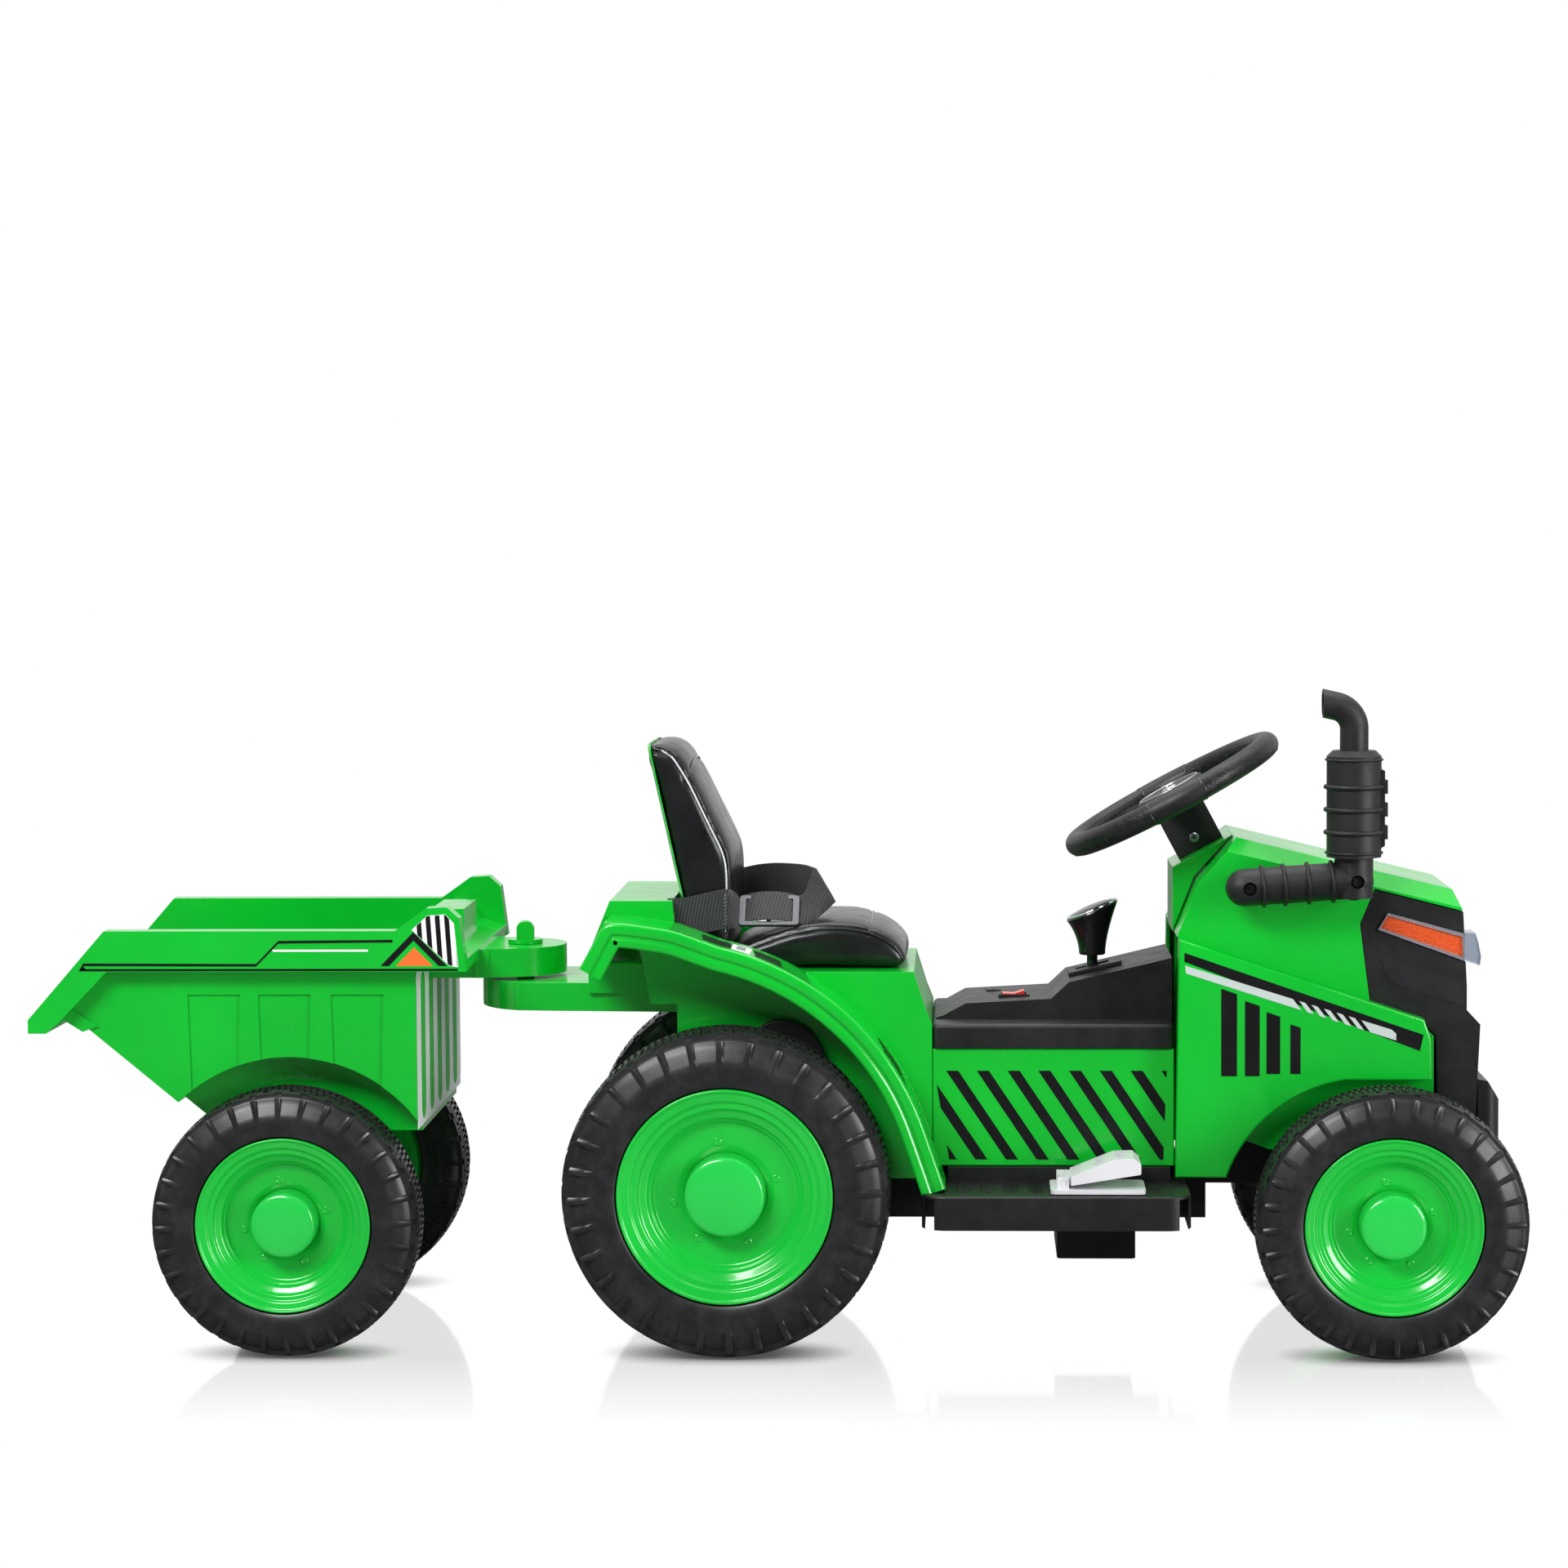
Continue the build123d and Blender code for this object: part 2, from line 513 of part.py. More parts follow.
with BuildPart() as exhaust_can:
    post(stack_x, exhaust_y, 24, 436.2, 530)
    chamfer(exhaust_can.edges().group_by(Axis.Z)[-1], 5)
    for ring_z in (458, 478, 498):
        post(stack_x, exhaust_y, 25.3, ring_z - 1.5, ring_z + 1.5)
        block((stack_x + 22, stack_x + 29), (exhaust_y - 7, exhaust_y + 7), (ring_z - 6, ring_z + 6))
    with BuildLine() as pipe_line:
        Polyline((stack_x, exhaust_y, 529), (stack_x, exhaust_y, 549))
        bend = TangentArc((stack_x, exhaust_y, 549), (496, exhaust_y, 569), tangent=(0, 0, 1))
        Line(bend @ 1, bend @ 1 + (bend % 1) * 22)
    with BuildSketch(Plane((stack_x, exhaust_y, 529))) as pipe_section:
        Circle(12.5)
    sweep(pipe_section.sketch, path=pipe_line.line)
    with BuildLine() as bore_line:
        Line((stack_x, exhaust_y, 533), (stack_x, exhaust_y, 549))
        add(bend)
        Line(bend @ 1, bend @ 1 + (bend % 1) * 24)
    with BuildSketch(Plane((stack_x, exhaust_y, 533))) as bore_section:
        Circle(10.5)
    sweep(bore_section.sketch, path=bore_line.line, mode=Mode.SUBTRACT)
    block((430, 484.5), (exhaust_y - 30, exhaust_y + 30), (535, 640), Mode.SUBTRACT)
save(exhaust_can, "exhaust_can")

with BuildPart() as body_screws:
    for boss_x, boss_z in ((420, 409), (stack_x + 2, 415)):
        cross_rod(boss_x, boss_z, 4.5, exhaust_y - 12.5, exhaust_y - 10 - 0.1)
    for x in (170, 230, 340):
        for y in (-120, 120):
            post(x, y, 4, 137, floor_top_z - wall - 0.1)
save(body_screws, "body_screws")

# ---- seat and lap belt ---------------------------------------------------------
with BuildPart() as seat_backrest:
    with BuildSketch(Plane.XZ.offset(-80)) as back_outline:
        with BuildLine():
            Polyline((-46, 333), (-85, 333), (-88, 397), (-119, 540), (-97, 536))
            Spline((-97, 536), (-80, 518), (-62, 485), (-42, 443), (-42, 400), (-46, 333))
        make_face()
    extrude(back_outline.sketch, amount=160)
    fillet(seat_backrest.edges().filter_by(Axis.Y).sort_by(Axis.Z)[-2:], 4)
save(seat_backrest, "seat_backrest")

with BuildPart() as seat_cushion:
    side_plate([(-42, seat_top_z + gap), (121, seat_top_z + gap), (121, 345), (110, 357), (94, 365),
                (54, 371), (20, 369), (-42, 350)], -82, 82)
    fillet(seat_cushion.edges().filter_by(Axis.Z), 10)
save(seat_cushion, "seat_cushion")

with BuildPart() as lap_belt:
    # Two straps on edge: a short one on the right and a long one across the seat.
    with BuildSketch(Plane.XY.offset(375)) as webbing:
        with BuildLine():
            Polyline((-96, -83), (-40, -83), (-38, -75))
            Polyline((24, -58), (50, -42), (30, 20), (-26, 62), (-38, 83), (-96, 83))
        trace(line_width=2.4)
    extrude(webbing.sketch, amount=36)
    block((-100, -85), (-90, 90), (370, deck_z + 0.3), Mode.SUBTRACT)
save(lap_belt, "lap_belt")

buckle_frame = Plane(origin=(-7, -60, 383), x_dir=(1, 0, 0),
                     z_dir=(0, -sin(radians(40)), cos(radians(40))))
with BuildPart(buckle_frame) as belt_buckle:
    Box(55, 38, 3)
    fillet(belt_buckle.edges().sort_by(SortBy.LENGTH)[:4], 4)
    with Locations((-11.5, 0, 0), (11.5, 0, 0)):
        Box(19, 28, 4, mode=Mode.SUBTRACT)
save(belt_buckle, "belt_buckle")

# ---- steering ------------------------------------------------------------------
with BuildPart(column) as steering_rim:
    Torus(rim_major, rim_minor)
save(steering_rim, "steering_rim")

button_y, button_r = 17.0, 7.0
with BuildPart(column) as steering_hub:
    with Locations((0, 0, -2)):
        Cylinder(33, 16)
    fillet(steering_hub.edges().group_by(SortBy.LENGTH)[-1], 4)
    for angle in (90, 180, 270):
        with Locations(Location((0, 0, 0), (0, 0, angle)) * Location((60, 0, -3))):
            Box(76, 26, 7)
    with Locations((0, 0, -32)):
        Box(44, 40, 44)
    Torus(rim_major, rim_minor + 0.05, mode=Mode.SUBTRACT)
    for y in (-button_y, button_y):
        with Locations((0, y, 2)):
            Cylinder(button_r + 0.3, 12, mode=Mode.SUBTRACT)
    with Locations((0, 0, -39)):
        Cylinder(column_r, 40, mode=Mode.SUBTRACT)
save(steering_hub, "steering_hub")

with BuildPart(column) as steering_rod:
    with Locations((0, 0, -(column_length + 20) / 2)):
        Cylinder(column_r, column_length - 20)
    with Locations((0, 0, -column_length), (-crank_arm, 0, -column_length)):
        Sphere(column_r)
    with Locations(Location((-crank_arm / 2, 0, -column_length), (0, 90, 0))):
        Cylinder(column_r, crank_arm)
    with Locations((-crank_arm, 0, -column_length - 21)):
        Cylinder(4, 42)
save(steering_rod, "steering_rod")

for side_name, y in (("left", button_y), ("right", -button_y)):
    with BuildPart(column) as horn_button:
        with Locations((0, y, 3.5)):
            Cylinder(button_r, 9)
        fillet(horn_button.edges().filter_by(GeomType.CIRCLE).sort_by(Axis.Z)[-1], 1.5)
    save(horn_button, f"horn_button_{side_name}")

# ---- front axle and steering linkage -------------------------------------------
beam_low_z, beam_high_z = 101.0, 136.0
lug = 6.0
with BuildPart() as front_axle_beam:
    block((537, 557), (-97, 97), (beam_low_z, beam_high_z))
    for side in (-1, 1):
        low, high = sorted((side * 92, side * kingpin_y))
        for z in (beam_low_z, beam_high_z - lug):
            block((531, 557), (low, high), (z, z + lug))
            post(front_wheel_x, side * kingpin_y, 10, z, z + lug)
        block((531, 557), tuple(sorted((side * 88, side * 98))), (beam_low_z, beam_high_z))
        post(front_wheel_x, side * kingpin_y, kingpin_r + fit, 90, 150, Mode.SUBTRACT)
save(front_axle_beam, "front_axle_beam")

for side_name, side in (("left", 1), ("right", -1)):
    boss_low, boss_high = beam_low_z + lug + 0.5, beam_high_z - lug - 0.5
    with BuildPart() as knuckle:
        post(front_wheel_x, side * kingpin_y, 10, boss_low, boss_high)
        post(front_wheel_x, side * kingpin_y, kingpin_r, beam_low_z - 3, beam_high_z + 3)
        cross_rod(front_wheel_x, small_wheel_r, axle_r, *sorted((side * kingpin_y, side * axle_half)))
        cross_rod(front_wheel_x, small_wheel_r, 11, *sorted((side * kingpin_y, side * 127.5)))
        turned(front_wheel_x, small_wheel_r, side,
               [(180 + gap, axle_r - 1), (180 + gap, 11), (184, 11), (189, 7), (189, 0),
                (185, 0), (185, axle_r - 1)])
        low, high = sorted((side * (kingpin_y - 6), side * (kingpin_y + 6)))
        block((front_wheel_x - knuckle_arm, front_wheel_x - 4), (low, high), (119, 125))
        post(front_wheel_x - knuckle_arm, side * kingpin_y, 8, 119, 125)
        post(front_wheel_x - knuckle_arm, side * kingpin_y, 4, 110, 124)
    save(knuckle, f"knuckle_{side_name}")

tie_x = front_wheel_x - knuckle_arm
with BuildPart() as tie_rod:
    block((tie_x - 7, tie_x + 7), (-kingpin_y, kingpin_y), (112, 118))
    for side in (-1, 1):
        post(tie_x, side * kingpin_y, 9, 112, 118)
        post(tie_x, side * kingpin_y, 4 + fit, 108, 120, Mode.SUBTRACT)
    block((tie_x, 531), (-13, 13), (112, 118))
    block((508, 527.5), (-5.2, 5.2), (110, 120), Mode.SUBTRACT)
save(tie_rod, "tie_rod")

# ---- trailer -------------------------------------------------------------------
tub_outline = [(tub_front_x, 376), (tub_front_x, tub_floor_z), (-492, tub_floor_z), (-513, 208),
               (-622, 298), (-630, 300), (-591, 376)]
load_outline = [(tub_front_x - tub_wall, 410), (tub_front_x - tub_wall, tub_floor_z + tub_wall),
                (-490, tub_floor_z + tub_wall), (-510, 212), (-620, 303), (-664, 299), (-664, 410)]
flange_outline = [(-591, 376), (-332, 376), (-304, 396), (-286, 397), (-275, 387), (-269, 340),
                  (-589, 340), (-630, 297), (-644, 285), (-660, 285), (-660, 297)]

with BuildPart() as load_space:
    side_plate(load_outline, -tub_half + tub_wall, tub_half - tub_wall)
    for side in (-1, 1):
        low, high = sorted((side * (arch_half - tub_wall), side * tub_half))
        cross_rod(trailer_wheel_x, small_wheel_r, arch_r + tub_wall, low, high, Mode.SUBTRACT)

with BuildPart() as trailer_tub:
    side_plate(tub_outline, -tub_half, tub_half)
    # Rear pouring lip and the sloping ledge at the front.
    side_plate([(-600, 290), (-622, 304), (-660, 299), (-660, 285), (-644, 285), (-630, 295),
                (-614, 285)], -152, 152)
    side_plate([(tub_front_x, 340), (tub_front_x, 376), (-306, 376), (-292, 357), (-270, 350),
                (-270, 340)], -152, 152)
    block((tub_front_x, -286), (-46, 46), (350, 384))
    for side in (-1, 1):
        low, high = sorted((side * 146, side * fender_half))
        side_plate(flange_outline, low, high)
        low, high = sorted((side * tub_half, side * (fender_half - wall)))
        inset_plate(flange_outline, wall, low, high)
        block((-586, -273), (low, high), (338, 344), Mode.SUBTRACT)
        low, high = sorted((side * arch_half, side * 151))
        cross_rod(trailer_wheel_x, small_wheel_r, arch_r, low, high, Mode.SUBTRACT)
        for panel_x in (-520, -457, -392):
            low, high = sorted((side * (tub_half - 1.8), side * 151))
            side_plate([(panel_x, 318), (panel_x + 47, 318), (panel_x + 44, 215),
                        (panel_x + 3, 215)], low, high, Mode.SUBTRACT)
    add(load_space.part, mode=Mode.SUBTRACT)
    # Hollow under the front ledge, then the drawbar tongue.
    block((tub_front_x + wall, -274), (-140, 140), (336, 347), Mode.SUBTRACT)
    block((tub_front_x, -262), (-56, 56), (322, 348))
    with BuildSketch(Plane.XY.offset(322)) as tongue:
        with BuildLine():
            Polyline((-275, -58), (-232, -48))
            ThreePointArc((-232, -48), (-197, 0), (-232, 48))
            Polyline((-232, 48), (-275, 58), (-275, -58))
        make_face()
    extrude(tongue.sketch, amount=26)
    post(hitch_x, 0, hitch_pin_r + fit, 318, 352, Mode.SUBTRACT)
save(trailer_tub, "trailer_tub")

with BuildPart() as trailer_frame:
    for y in (-74, 68):
        side_plate([(-462, tub_floor_z - 0.2), (-398, tub_floor_z - 0.2), (-418, 106),
                    (-442, 106)], y, y + 6)
    block((-462, -398), (-74, 74), (tub_floor_z - 5, tub_floor_z - 0.2))
    cross_rod(trailer_wheel_x, small_wheel_r, axle_r, -76, 76, Mode.SUBTRACT)
save(trailer_frame, "trailer_frame")

with BuildPart() as trailer_axle:
    cross_rod(trailer_wheel_x, small_wheel_r, axle_r, -axle_half, axle_half)
    for side in (-1, 1):
        turned(trailer_wheel_x, small_wheel_r, side,
               [(180 + gap, axle_r - 1), (180 + gap, 11), (184, 11), (189, 7), (189, 0),
                (185, 0), (185, axle_r - 1)])
        cross_rod(trailer_wheel_x, small_wheel_r, 10, *sorted((side * 74.3, side * 127.5)))
save(trailer_axle, "trailer_axle")
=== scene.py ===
import json
from math import atan2, cos, exp, pi, radians, sin, sqrt, tau

import bmesh
import bpy
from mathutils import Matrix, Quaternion, Vector
from mathutils.bvhtree import BVHTree


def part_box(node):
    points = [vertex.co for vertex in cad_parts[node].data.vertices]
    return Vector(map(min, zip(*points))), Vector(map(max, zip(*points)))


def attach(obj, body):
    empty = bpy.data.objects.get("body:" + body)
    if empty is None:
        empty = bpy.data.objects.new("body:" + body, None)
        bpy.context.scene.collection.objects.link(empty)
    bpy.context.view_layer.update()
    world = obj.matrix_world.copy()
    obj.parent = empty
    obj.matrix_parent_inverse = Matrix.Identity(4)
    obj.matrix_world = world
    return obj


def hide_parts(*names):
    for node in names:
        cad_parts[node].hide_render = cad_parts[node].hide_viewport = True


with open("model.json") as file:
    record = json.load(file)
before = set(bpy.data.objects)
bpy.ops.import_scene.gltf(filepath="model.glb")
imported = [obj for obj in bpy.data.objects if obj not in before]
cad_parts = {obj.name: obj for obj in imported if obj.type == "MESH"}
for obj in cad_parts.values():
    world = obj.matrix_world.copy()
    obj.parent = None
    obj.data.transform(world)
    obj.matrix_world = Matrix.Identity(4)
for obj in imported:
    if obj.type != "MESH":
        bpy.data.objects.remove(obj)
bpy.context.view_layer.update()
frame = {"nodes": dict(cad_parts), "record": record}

MM = 0.001
SCENE = bpy.context.scene
NODES = frame["nodes"]
SLOT = {part["node"]: part["material_slot"] for part in frame["record"]["subparts"]}
SIDES = (("left", 1), ("right", -1))


# ---- materials ---------------------------------------------------------------
class Nodes:
    """A node tree that is built node by node."""

    def __init__(self, tree):
        self.tree = tree

    def add(self, kind, inputs=None, **settings):
        node = self.tree.nodes.new(kind)
        for key, value in settings.items():
            setattr(node, key, value)
        for key, value in (inputs or {}).items():
            self.feed(node.inputs[key], value)
        return node

    def feed(self, socket, value):
        if isinstance(value, bpy.types.NodeSocket):
            self.tree.links.new(value, socket)
        else:
            socket.default_value = value

    def math(self, operation, *values):
        return self.add("ShaderNodeMath", dict(enumerate(values)), operation=operation).outputs[0]

    def ramp(self, value, low, high, out_low, out_high, **settings):
        limits = {"Value": value, "From Min": low, "From Max": high, "To Min": out_low, "To Max": out_high}
        return self.add("ShaderNodeMapRange", limits, **settings).outputs["Result"]


class Shader(Nodes):
    """A Principled material whose textures sit in object space."""

    def __init__(self, name):
        self.material = bpy.data.materials.new(name)
        self.material.use_nodes = True
        super().__init__(self.material.node_tree)
        self.bsdf = self.tree.nodes["Principled BSDF"]
        self.place = self.add("ShaderNodeTexCoord").outputs["Object"]

    def set(self, **values):
        names = {"color": "Base Color", "rough": "Roughness", "metal": "Metallic",
                 "coat": "Coat Weight", "coat_rough": "Coat Roughness", "ior": "IOR",
                 "sheen": "Sheen Weight", "sheen_rough": "Sheen Roughness",
                 "clear": "Transmission Weight", "specular": "Specular IOR Level"}
        for key, value in values.items():
            self.feed(self.bsdf.inputs[names[key]], value)

    def noise(self, scale, detail=3.0, rough=0.5):
        return self.add("ShaderNodeTexNoise", {"Vector": self.place, "Scale": scale, "Detail": detail,
                                               "Roughness": rough}).outputs["Fac"]

    def cells(self, scale, feature="F1"):
        return self.add("ShaderNodeTexVoronoi", {"Vector": self.place, "Scale": scale},
                        feature=feature).outputs["Distance"]

    def blend_colors(self, factor, *colors):
        """Mix two colours, each three numbers or a socket."""
        node = self.add("ShaderNodeMix", {0: factor}, data_type="RGBA")
        for index, color in zip((6, 7), colors):
            self.feed(node.inputs[index], (*color, 1) if isinstance(color, tuple) else color)
        return node.outputs[2]

    def bumps(self, *layers):
        """Stack bump layers of (height socket, distance in metres, strength)."""
        normal = None
        for height, distance, strength in layers:
            node = self.add("ShaderNodeBump", {"Height": height, "Distance": distance,
                                               "Strength": strength})
            if normal is not None:
                self.feed(node.inputs["Normal"], normal)
            normal = node.outputs["Normal"]
        self.feed(self.bsdf.inputs["Normal"], normal)


def gloss_plastic(name, color, rough=0.16, coat=0.6, orange_peel=0.25):
    """Gloss moulded plastic: faint flow variation, handling haze and orange peel."""
    s = Shader(name)
    flow = s.noise(9.0, 4.0)
    dark = tuple(c * 0.86 for c in color)
    s.set(color=s.blend_colors(s.ramp(flow, 0.3, 0.7, 0.0, 1.0), dark, color),
          rough=s.ramp(s.noise(38.0, 5.0, 0.65), 0.3, 0.75, rough * 0.75, rough * 1.5),
          coat=coat, coat_rough=0.06, ior=1.49)
    s.bumps((s.noise(55.0, 2.0), 0.0006, orange_peel * 0.3),
            (s.noise(420.0, 2.0), 0.0001, orange_peel * 0.2))
    return s.material


def textured_plastic(name, color, rough=0.5, grain=900.0, depth=0.35):
    """Satin plastic with a spark-eroded grain."""
    s = Shader(name)
    wide = s.noise(14.0, 3.0)
    pale = tuple(min(1.0, c * 1.5 + 0.004) for c in color)
    s.set(color=s.blend_colors(s.ramp(wide, 0.35, 0.7, 0.0, 0.7), color, pale),
          rough=s.ramp(s.noise(60.0, 4.0), 0.3, 0.7, rough * 0.85, rough * 1.12),
          ior=1.5)
    s.bumps((wide, 0.0008, 0.1), (s.cells(grain), 0.0002, depth))
    return s.material


def tyre_plastic(name):
    """Blow-moulded tyre plastic: satin black, faint scuffs and radial flow marks."""
    s = Shader(name)
    scuffs = s.noise(45.0, 6.0, 0.7)
    s.set(color=s.blend_colors(s.ramp(scuffs, 0.45, 0.8, 0.0, 1.0),
                               (0.012, 0.012, 0.013), (0.034, 0.034, 0.037)),
          rough=s.ramp(s.noise(20.0, 5.0), 0.3, 0.7, 0.3, 0.46), ior=1.5,
          coat=0.15, coat_rough=0.25)
    s.bumps((s.noise(70.0, 3.0), 0.0005, 0.22),
            (s.noise(900.0, 2.0), 0.0001, 0.2))
    return s.material


def metal(name, color, rough=0.3, brushed=False):
    """Plated or brushed metal with fine scratches."""
    s = Shader(name)
    grain = (40, 4, 40) if brushed else (12, 12, 12)
    stretch = s.add("ShaderNodeMapping", {"Vector": s.place, "Scale": grain}).outputs[0]
    scratches = s.add("ShaderNodeTexNoise", {"Vector": stretch, "Scale": 22.0, "Detail": 6.0}).outputs["Fac"]
    s.set(color=s.blend_colors(scratches, tuple(c * 0.8 for c in color), color),
          metal=1.0, rough=s.ramp(scratches, 0.3, 0.7, rough * 0.7, rough * 1.35))
    s.bumps((scratches, 0.0001, 0.25))
    return s.material


def leather(name):
    """Gloss black artificial leather with a fine pebble grain and soft creases."""
    s = Shader(name)
    wear = s.noise(18.0, 5.0)
    s.set(color=s.blend_colors(s.ramp(wear, 0.35, 0.75, 0.0, 1.0), (0.007, 0.007, 0.008),
                               (0.016, 0.016, 0.018)),
          rough=s.ramp(s.noise(60.0, 5.0), 0.3, 0.7, 0.24, 0.36),
          coat=0.22, coat_rough=0.14, specular=0.3)
    s.bumps((s.noise(22.0, 3.0), 0.0022, 0.3), (s.cells(750.0), 0.0002, 0.3))
    return s.material


def grip_leather(name):
    """Moulded leather grain of the steering wheel grip."""
    s = Shader(name)
    warped = s.noise(160.0, 2.0)
    s.set(color=s.blend_colors(s.ramp(warped, 0.35, 0.7, 0.0, 1.0),
                               (0.008, 0.008, 0.009), (0.017, 0.017, 0.018)),
          rough=s.ramp(warped, 0.3, 0.7, 0.36, 0.5), specular=0.4)
    s.bumps((warped, 0.0005, 0.35), (s.cells(520.0, "SMOOTH_F1"), 0.0004, 0.7))
    return s.material


def woven(name):
    """Polyester webbing: rows of paired yarns along and across the strap, the raised yarns painted paler as a
    painted highlight.
    """
    s = Shader(name)
    uv = s.add("ShaderNodeUVMap", uv_map="strap").outputs["UV"]
    axes = s.add("ShaderNodeSeparateXYZ", {"Vector": uv}).outputs
    rib_pitch, pick_pitch = 0.0026, 0.0031
    slant = s.math("ADD", axes["X"], axes["Y"])
    ribs = s.math("SINE", s.math("MULTIPLY", axes["Y"], tau / rib_pitch))
    picks = s.math("SINE", s.math("MULTIPLY", slant, tau / pick_pitch))
    lift = s.ramp(s.math("MULTIPLY", ribs, picks), -1.0, 1.0, 0.0, 1.0)
    # Colour follows the weave: the raised yarns are painted paler, a painted highlight.
    s.set(color=s.blend_colors(lift, (0.003, 0.003, 0.004), (0.06, 0.06, 0.064)),
          rough=s.ramp(lift, 0.0, 1.0, 0.75, 0.5), sheen=0.25, sheen_rough=0.4, specular=0.3)
    s.bumps((lift, 0.0006, 0.9), (s.noise(1500.0, 2.0), 0.0001, 0.4))
    return s.material


def vinyl(name, color, rough=0.38):
    """Printed sticker film with a faint ripple and rubbed specks."""
    s = Shader(name)
    specks = s.noise(260.0, 5.0, 0.7)
    rubbed = tuple(c * 0.92 + 0.01 for c in color)
    s.set(color=s.blend_colors(s.ramp(specks, 0.58, 0.75, 0.0, 1.0), color, rubbed),
          rough=s.ramp(s.noise(40.0, 4.0), 0.3, 0.7, rough * 0.8, rough * 1.2),
          specular=0.35)
    s.bumps((s.noise(120.0, 3.0), 0.0002, 0.2))
    return s.material


def lamp_clear(name):
    """Clear moulded lamp cover."""
    s = Shader(name)
    haze = s.noise(70.0, 4.0)
    s.set(color=s.blend_colors(haze, (0.62, 0.74, 0.92), (0.8, 0.88, 0.98)), clear=0.8,
          rough=s.ramp(haze, 0.3, 0.7, 0.03, 0.1), ior=1.49, coat=0.5, coat_rough=0.03)
    s.bumps((s.noise(200.0, 2.0), 0.0002, 0.2))
    return s.material


GREEN = (0.003, 0.52, 0.03)
green = gloss_plastic("green_gloss", GREEN, 0.2, 0.35)
rim_green = gloss_plastic("rim_gloss", (0.01, 0.56, 0.05), 0.2, 0.5)
cap_green = gloss_plastic("cap_gloss", (0.02, 0.62, 0.08), 0.2, 0.5)
black = textured_plastic("black_textured", (0.007, 0.007, 0.0075), 0.46)
black_matt = textured_plastic("black_matt", (0.008, 0.008, 0.0085), 0.5, 1300.0, 0.5)
charcoal = textured_plastic("charcoal_satin", (0.012, 0.012, 0.014), 0.4, 1500.0, 0.2)
black_gloss = gloss_plastic("black_gloss", (0.006, 0.006, 0.007), 0.22, 0.4)
white = gloss_plastic("white_gloss", (0.76, 0.76, 0.79), 0.3, 0.3)
red = gloss_plastic("red_gloss", (0.72, 0.03, 0.015), 0.25, 0.4)
orange = gloss_plastic("reflector_orange", (0.84, 0.13, 0.03), 0.3, 0.6, 0.1)
tyre_black = tyre_plastic("tyre_black")
seat_black = leather("seat_leather")
grip_black = grip_leather("grip_leather")
webbing = woven("webbing")
steel = metal("zinc_steel", (0.55, 0.56, 0.58), 0.32, True)
chrome = metal("bright_chrome", (0.78, 0.79, 0.81), 0.1)
# Steel painted dark: painted shade for screws sunk in their holes and for screw-head slots.
steel_painted_shade = metal("steel_painted_shade", (0.07, 0.07, 0.075), 0.35)
buckle_steel = metal("buckle_steel", (0.12, 0.12, 0.128), 0.34, True)
clear = lamp_clear("lamp_clear")
# Pale copy of the black piping: a painted highlight along the backrest's side seams.
piping_painted_highlight = gloss_plastic("piping_painted_highlight", (0.7, 0.71, 0.74), 0.25, 0.3)
film_black = vinyl("film_black", (0.006, 0.006, 0.007))
film_white = vinyl("film_white", (0.88, 0.9, 0.9))
film_pale = vinyl("film_pale", (0.52, 0.6, 0.57))
film_green = vinyl("film_green", (0.003, 0.5, 0.03), 0.5)
film_grey = vinyl("film_grey", (0.16, 0.2, 0.2))
film_orange = vinyl("film_orange", (0.85, 0.16, 0.025))
# The record's slot that each sticker film is listed under.
FILM_SLOT = {"film_black": SLOT["centre_console"], "film_grey": SLOT["centre_console"],
             "film_white": SLOT["pedal"], "film_pale": SLOT["pedal"],
             "film_green": SLOT["trailer_tub"], "film_orange": SLOT["headlight_lenses"]}


# ---- mesh helpers --------------------------------------------------------------
def placed(name, data):
    obj = bpy.data.objects.new(name, data)
    SCENE.collection.objects.link(obj)
    return obj


def piece(name, verts, faces, material, body, smooth=35.0):
    """Make a mesh piece that rides on a body."""
    mesh = bpy.data.meshes.new(name)
    mesh.from_pydata([tuple(v) for v in verts], [], faces)
    mesh.validate()
    cleaned = bmesh.new()
    cleaned.from_mesh(mesh)
    bmesh.ops.recalc_face_normals(cleaned, faces=cleaned.faces)
    cleaned.to_mesh(mesh)
    cleaned.free()
    mesh.shade_smooth()
    mesh.set_sharp_from_angle(angle=radians(smooth))
    obj = placed(name, mesh)
    mesh.materials.append(material)
    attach(obj, body)
    return obj


def quads(rows, size, wrap=False):
    """Faces between rows of points, where each row is a closed ring of the same size."""
    pairs = [(i, (i + 1) % rows) for i in range(rows if wrap else rows - 1)]
    return [(i * size + k, i * size + (k + 1) % size, j * size + (k + 1) % size, j * size + k)
            for i, j in pairs for k in range(size)]


def circle(count, radius=1.0, turn=0.0):
    angles = [turn + tau * k / count for k in range(count)]
    return [(radius * cos(a), radius * sin(a)) for a in angles]


def lathe(name, profile, centre, side, material, body, segments=128):
    """Turn a closed outline of (distance from the middle plane, radius) about a cross axle."""
    verts = [(centre[0] + r * MM * u, side * y * MM, centre[2] + r * MM * v)
             for y, r in profile for u, v in circle(segments)]
    return piece(name, verts, quads(len(profile), segments, True), material, body)


def rounded(points, radius, steps=4):
    """Round the inner corners of an open outline with short curves."""
    result = [Vector(points[0])]
    for before, corner, after in zip(points, points[1:], points[2:]):
        before, corner, after = Vector(before), Vector(corner), Vector(after)
        cut_in = min(radius, (before - corner).length * 0.45)
        cut_out = min(radius, (after - corner).length * 0.45)
        start = corner + (before - corner).normalized() * cut_in
        end = corner + (after - corner).normalized() * cut_out
        for k in range(steps + 1):
            t = k / steps
            result.append(start * (1 - t) ** 2 + corner * 2 * t * (1 - t) + end * t ** 2)
    result.append(Vector(points[-1]))
    return result


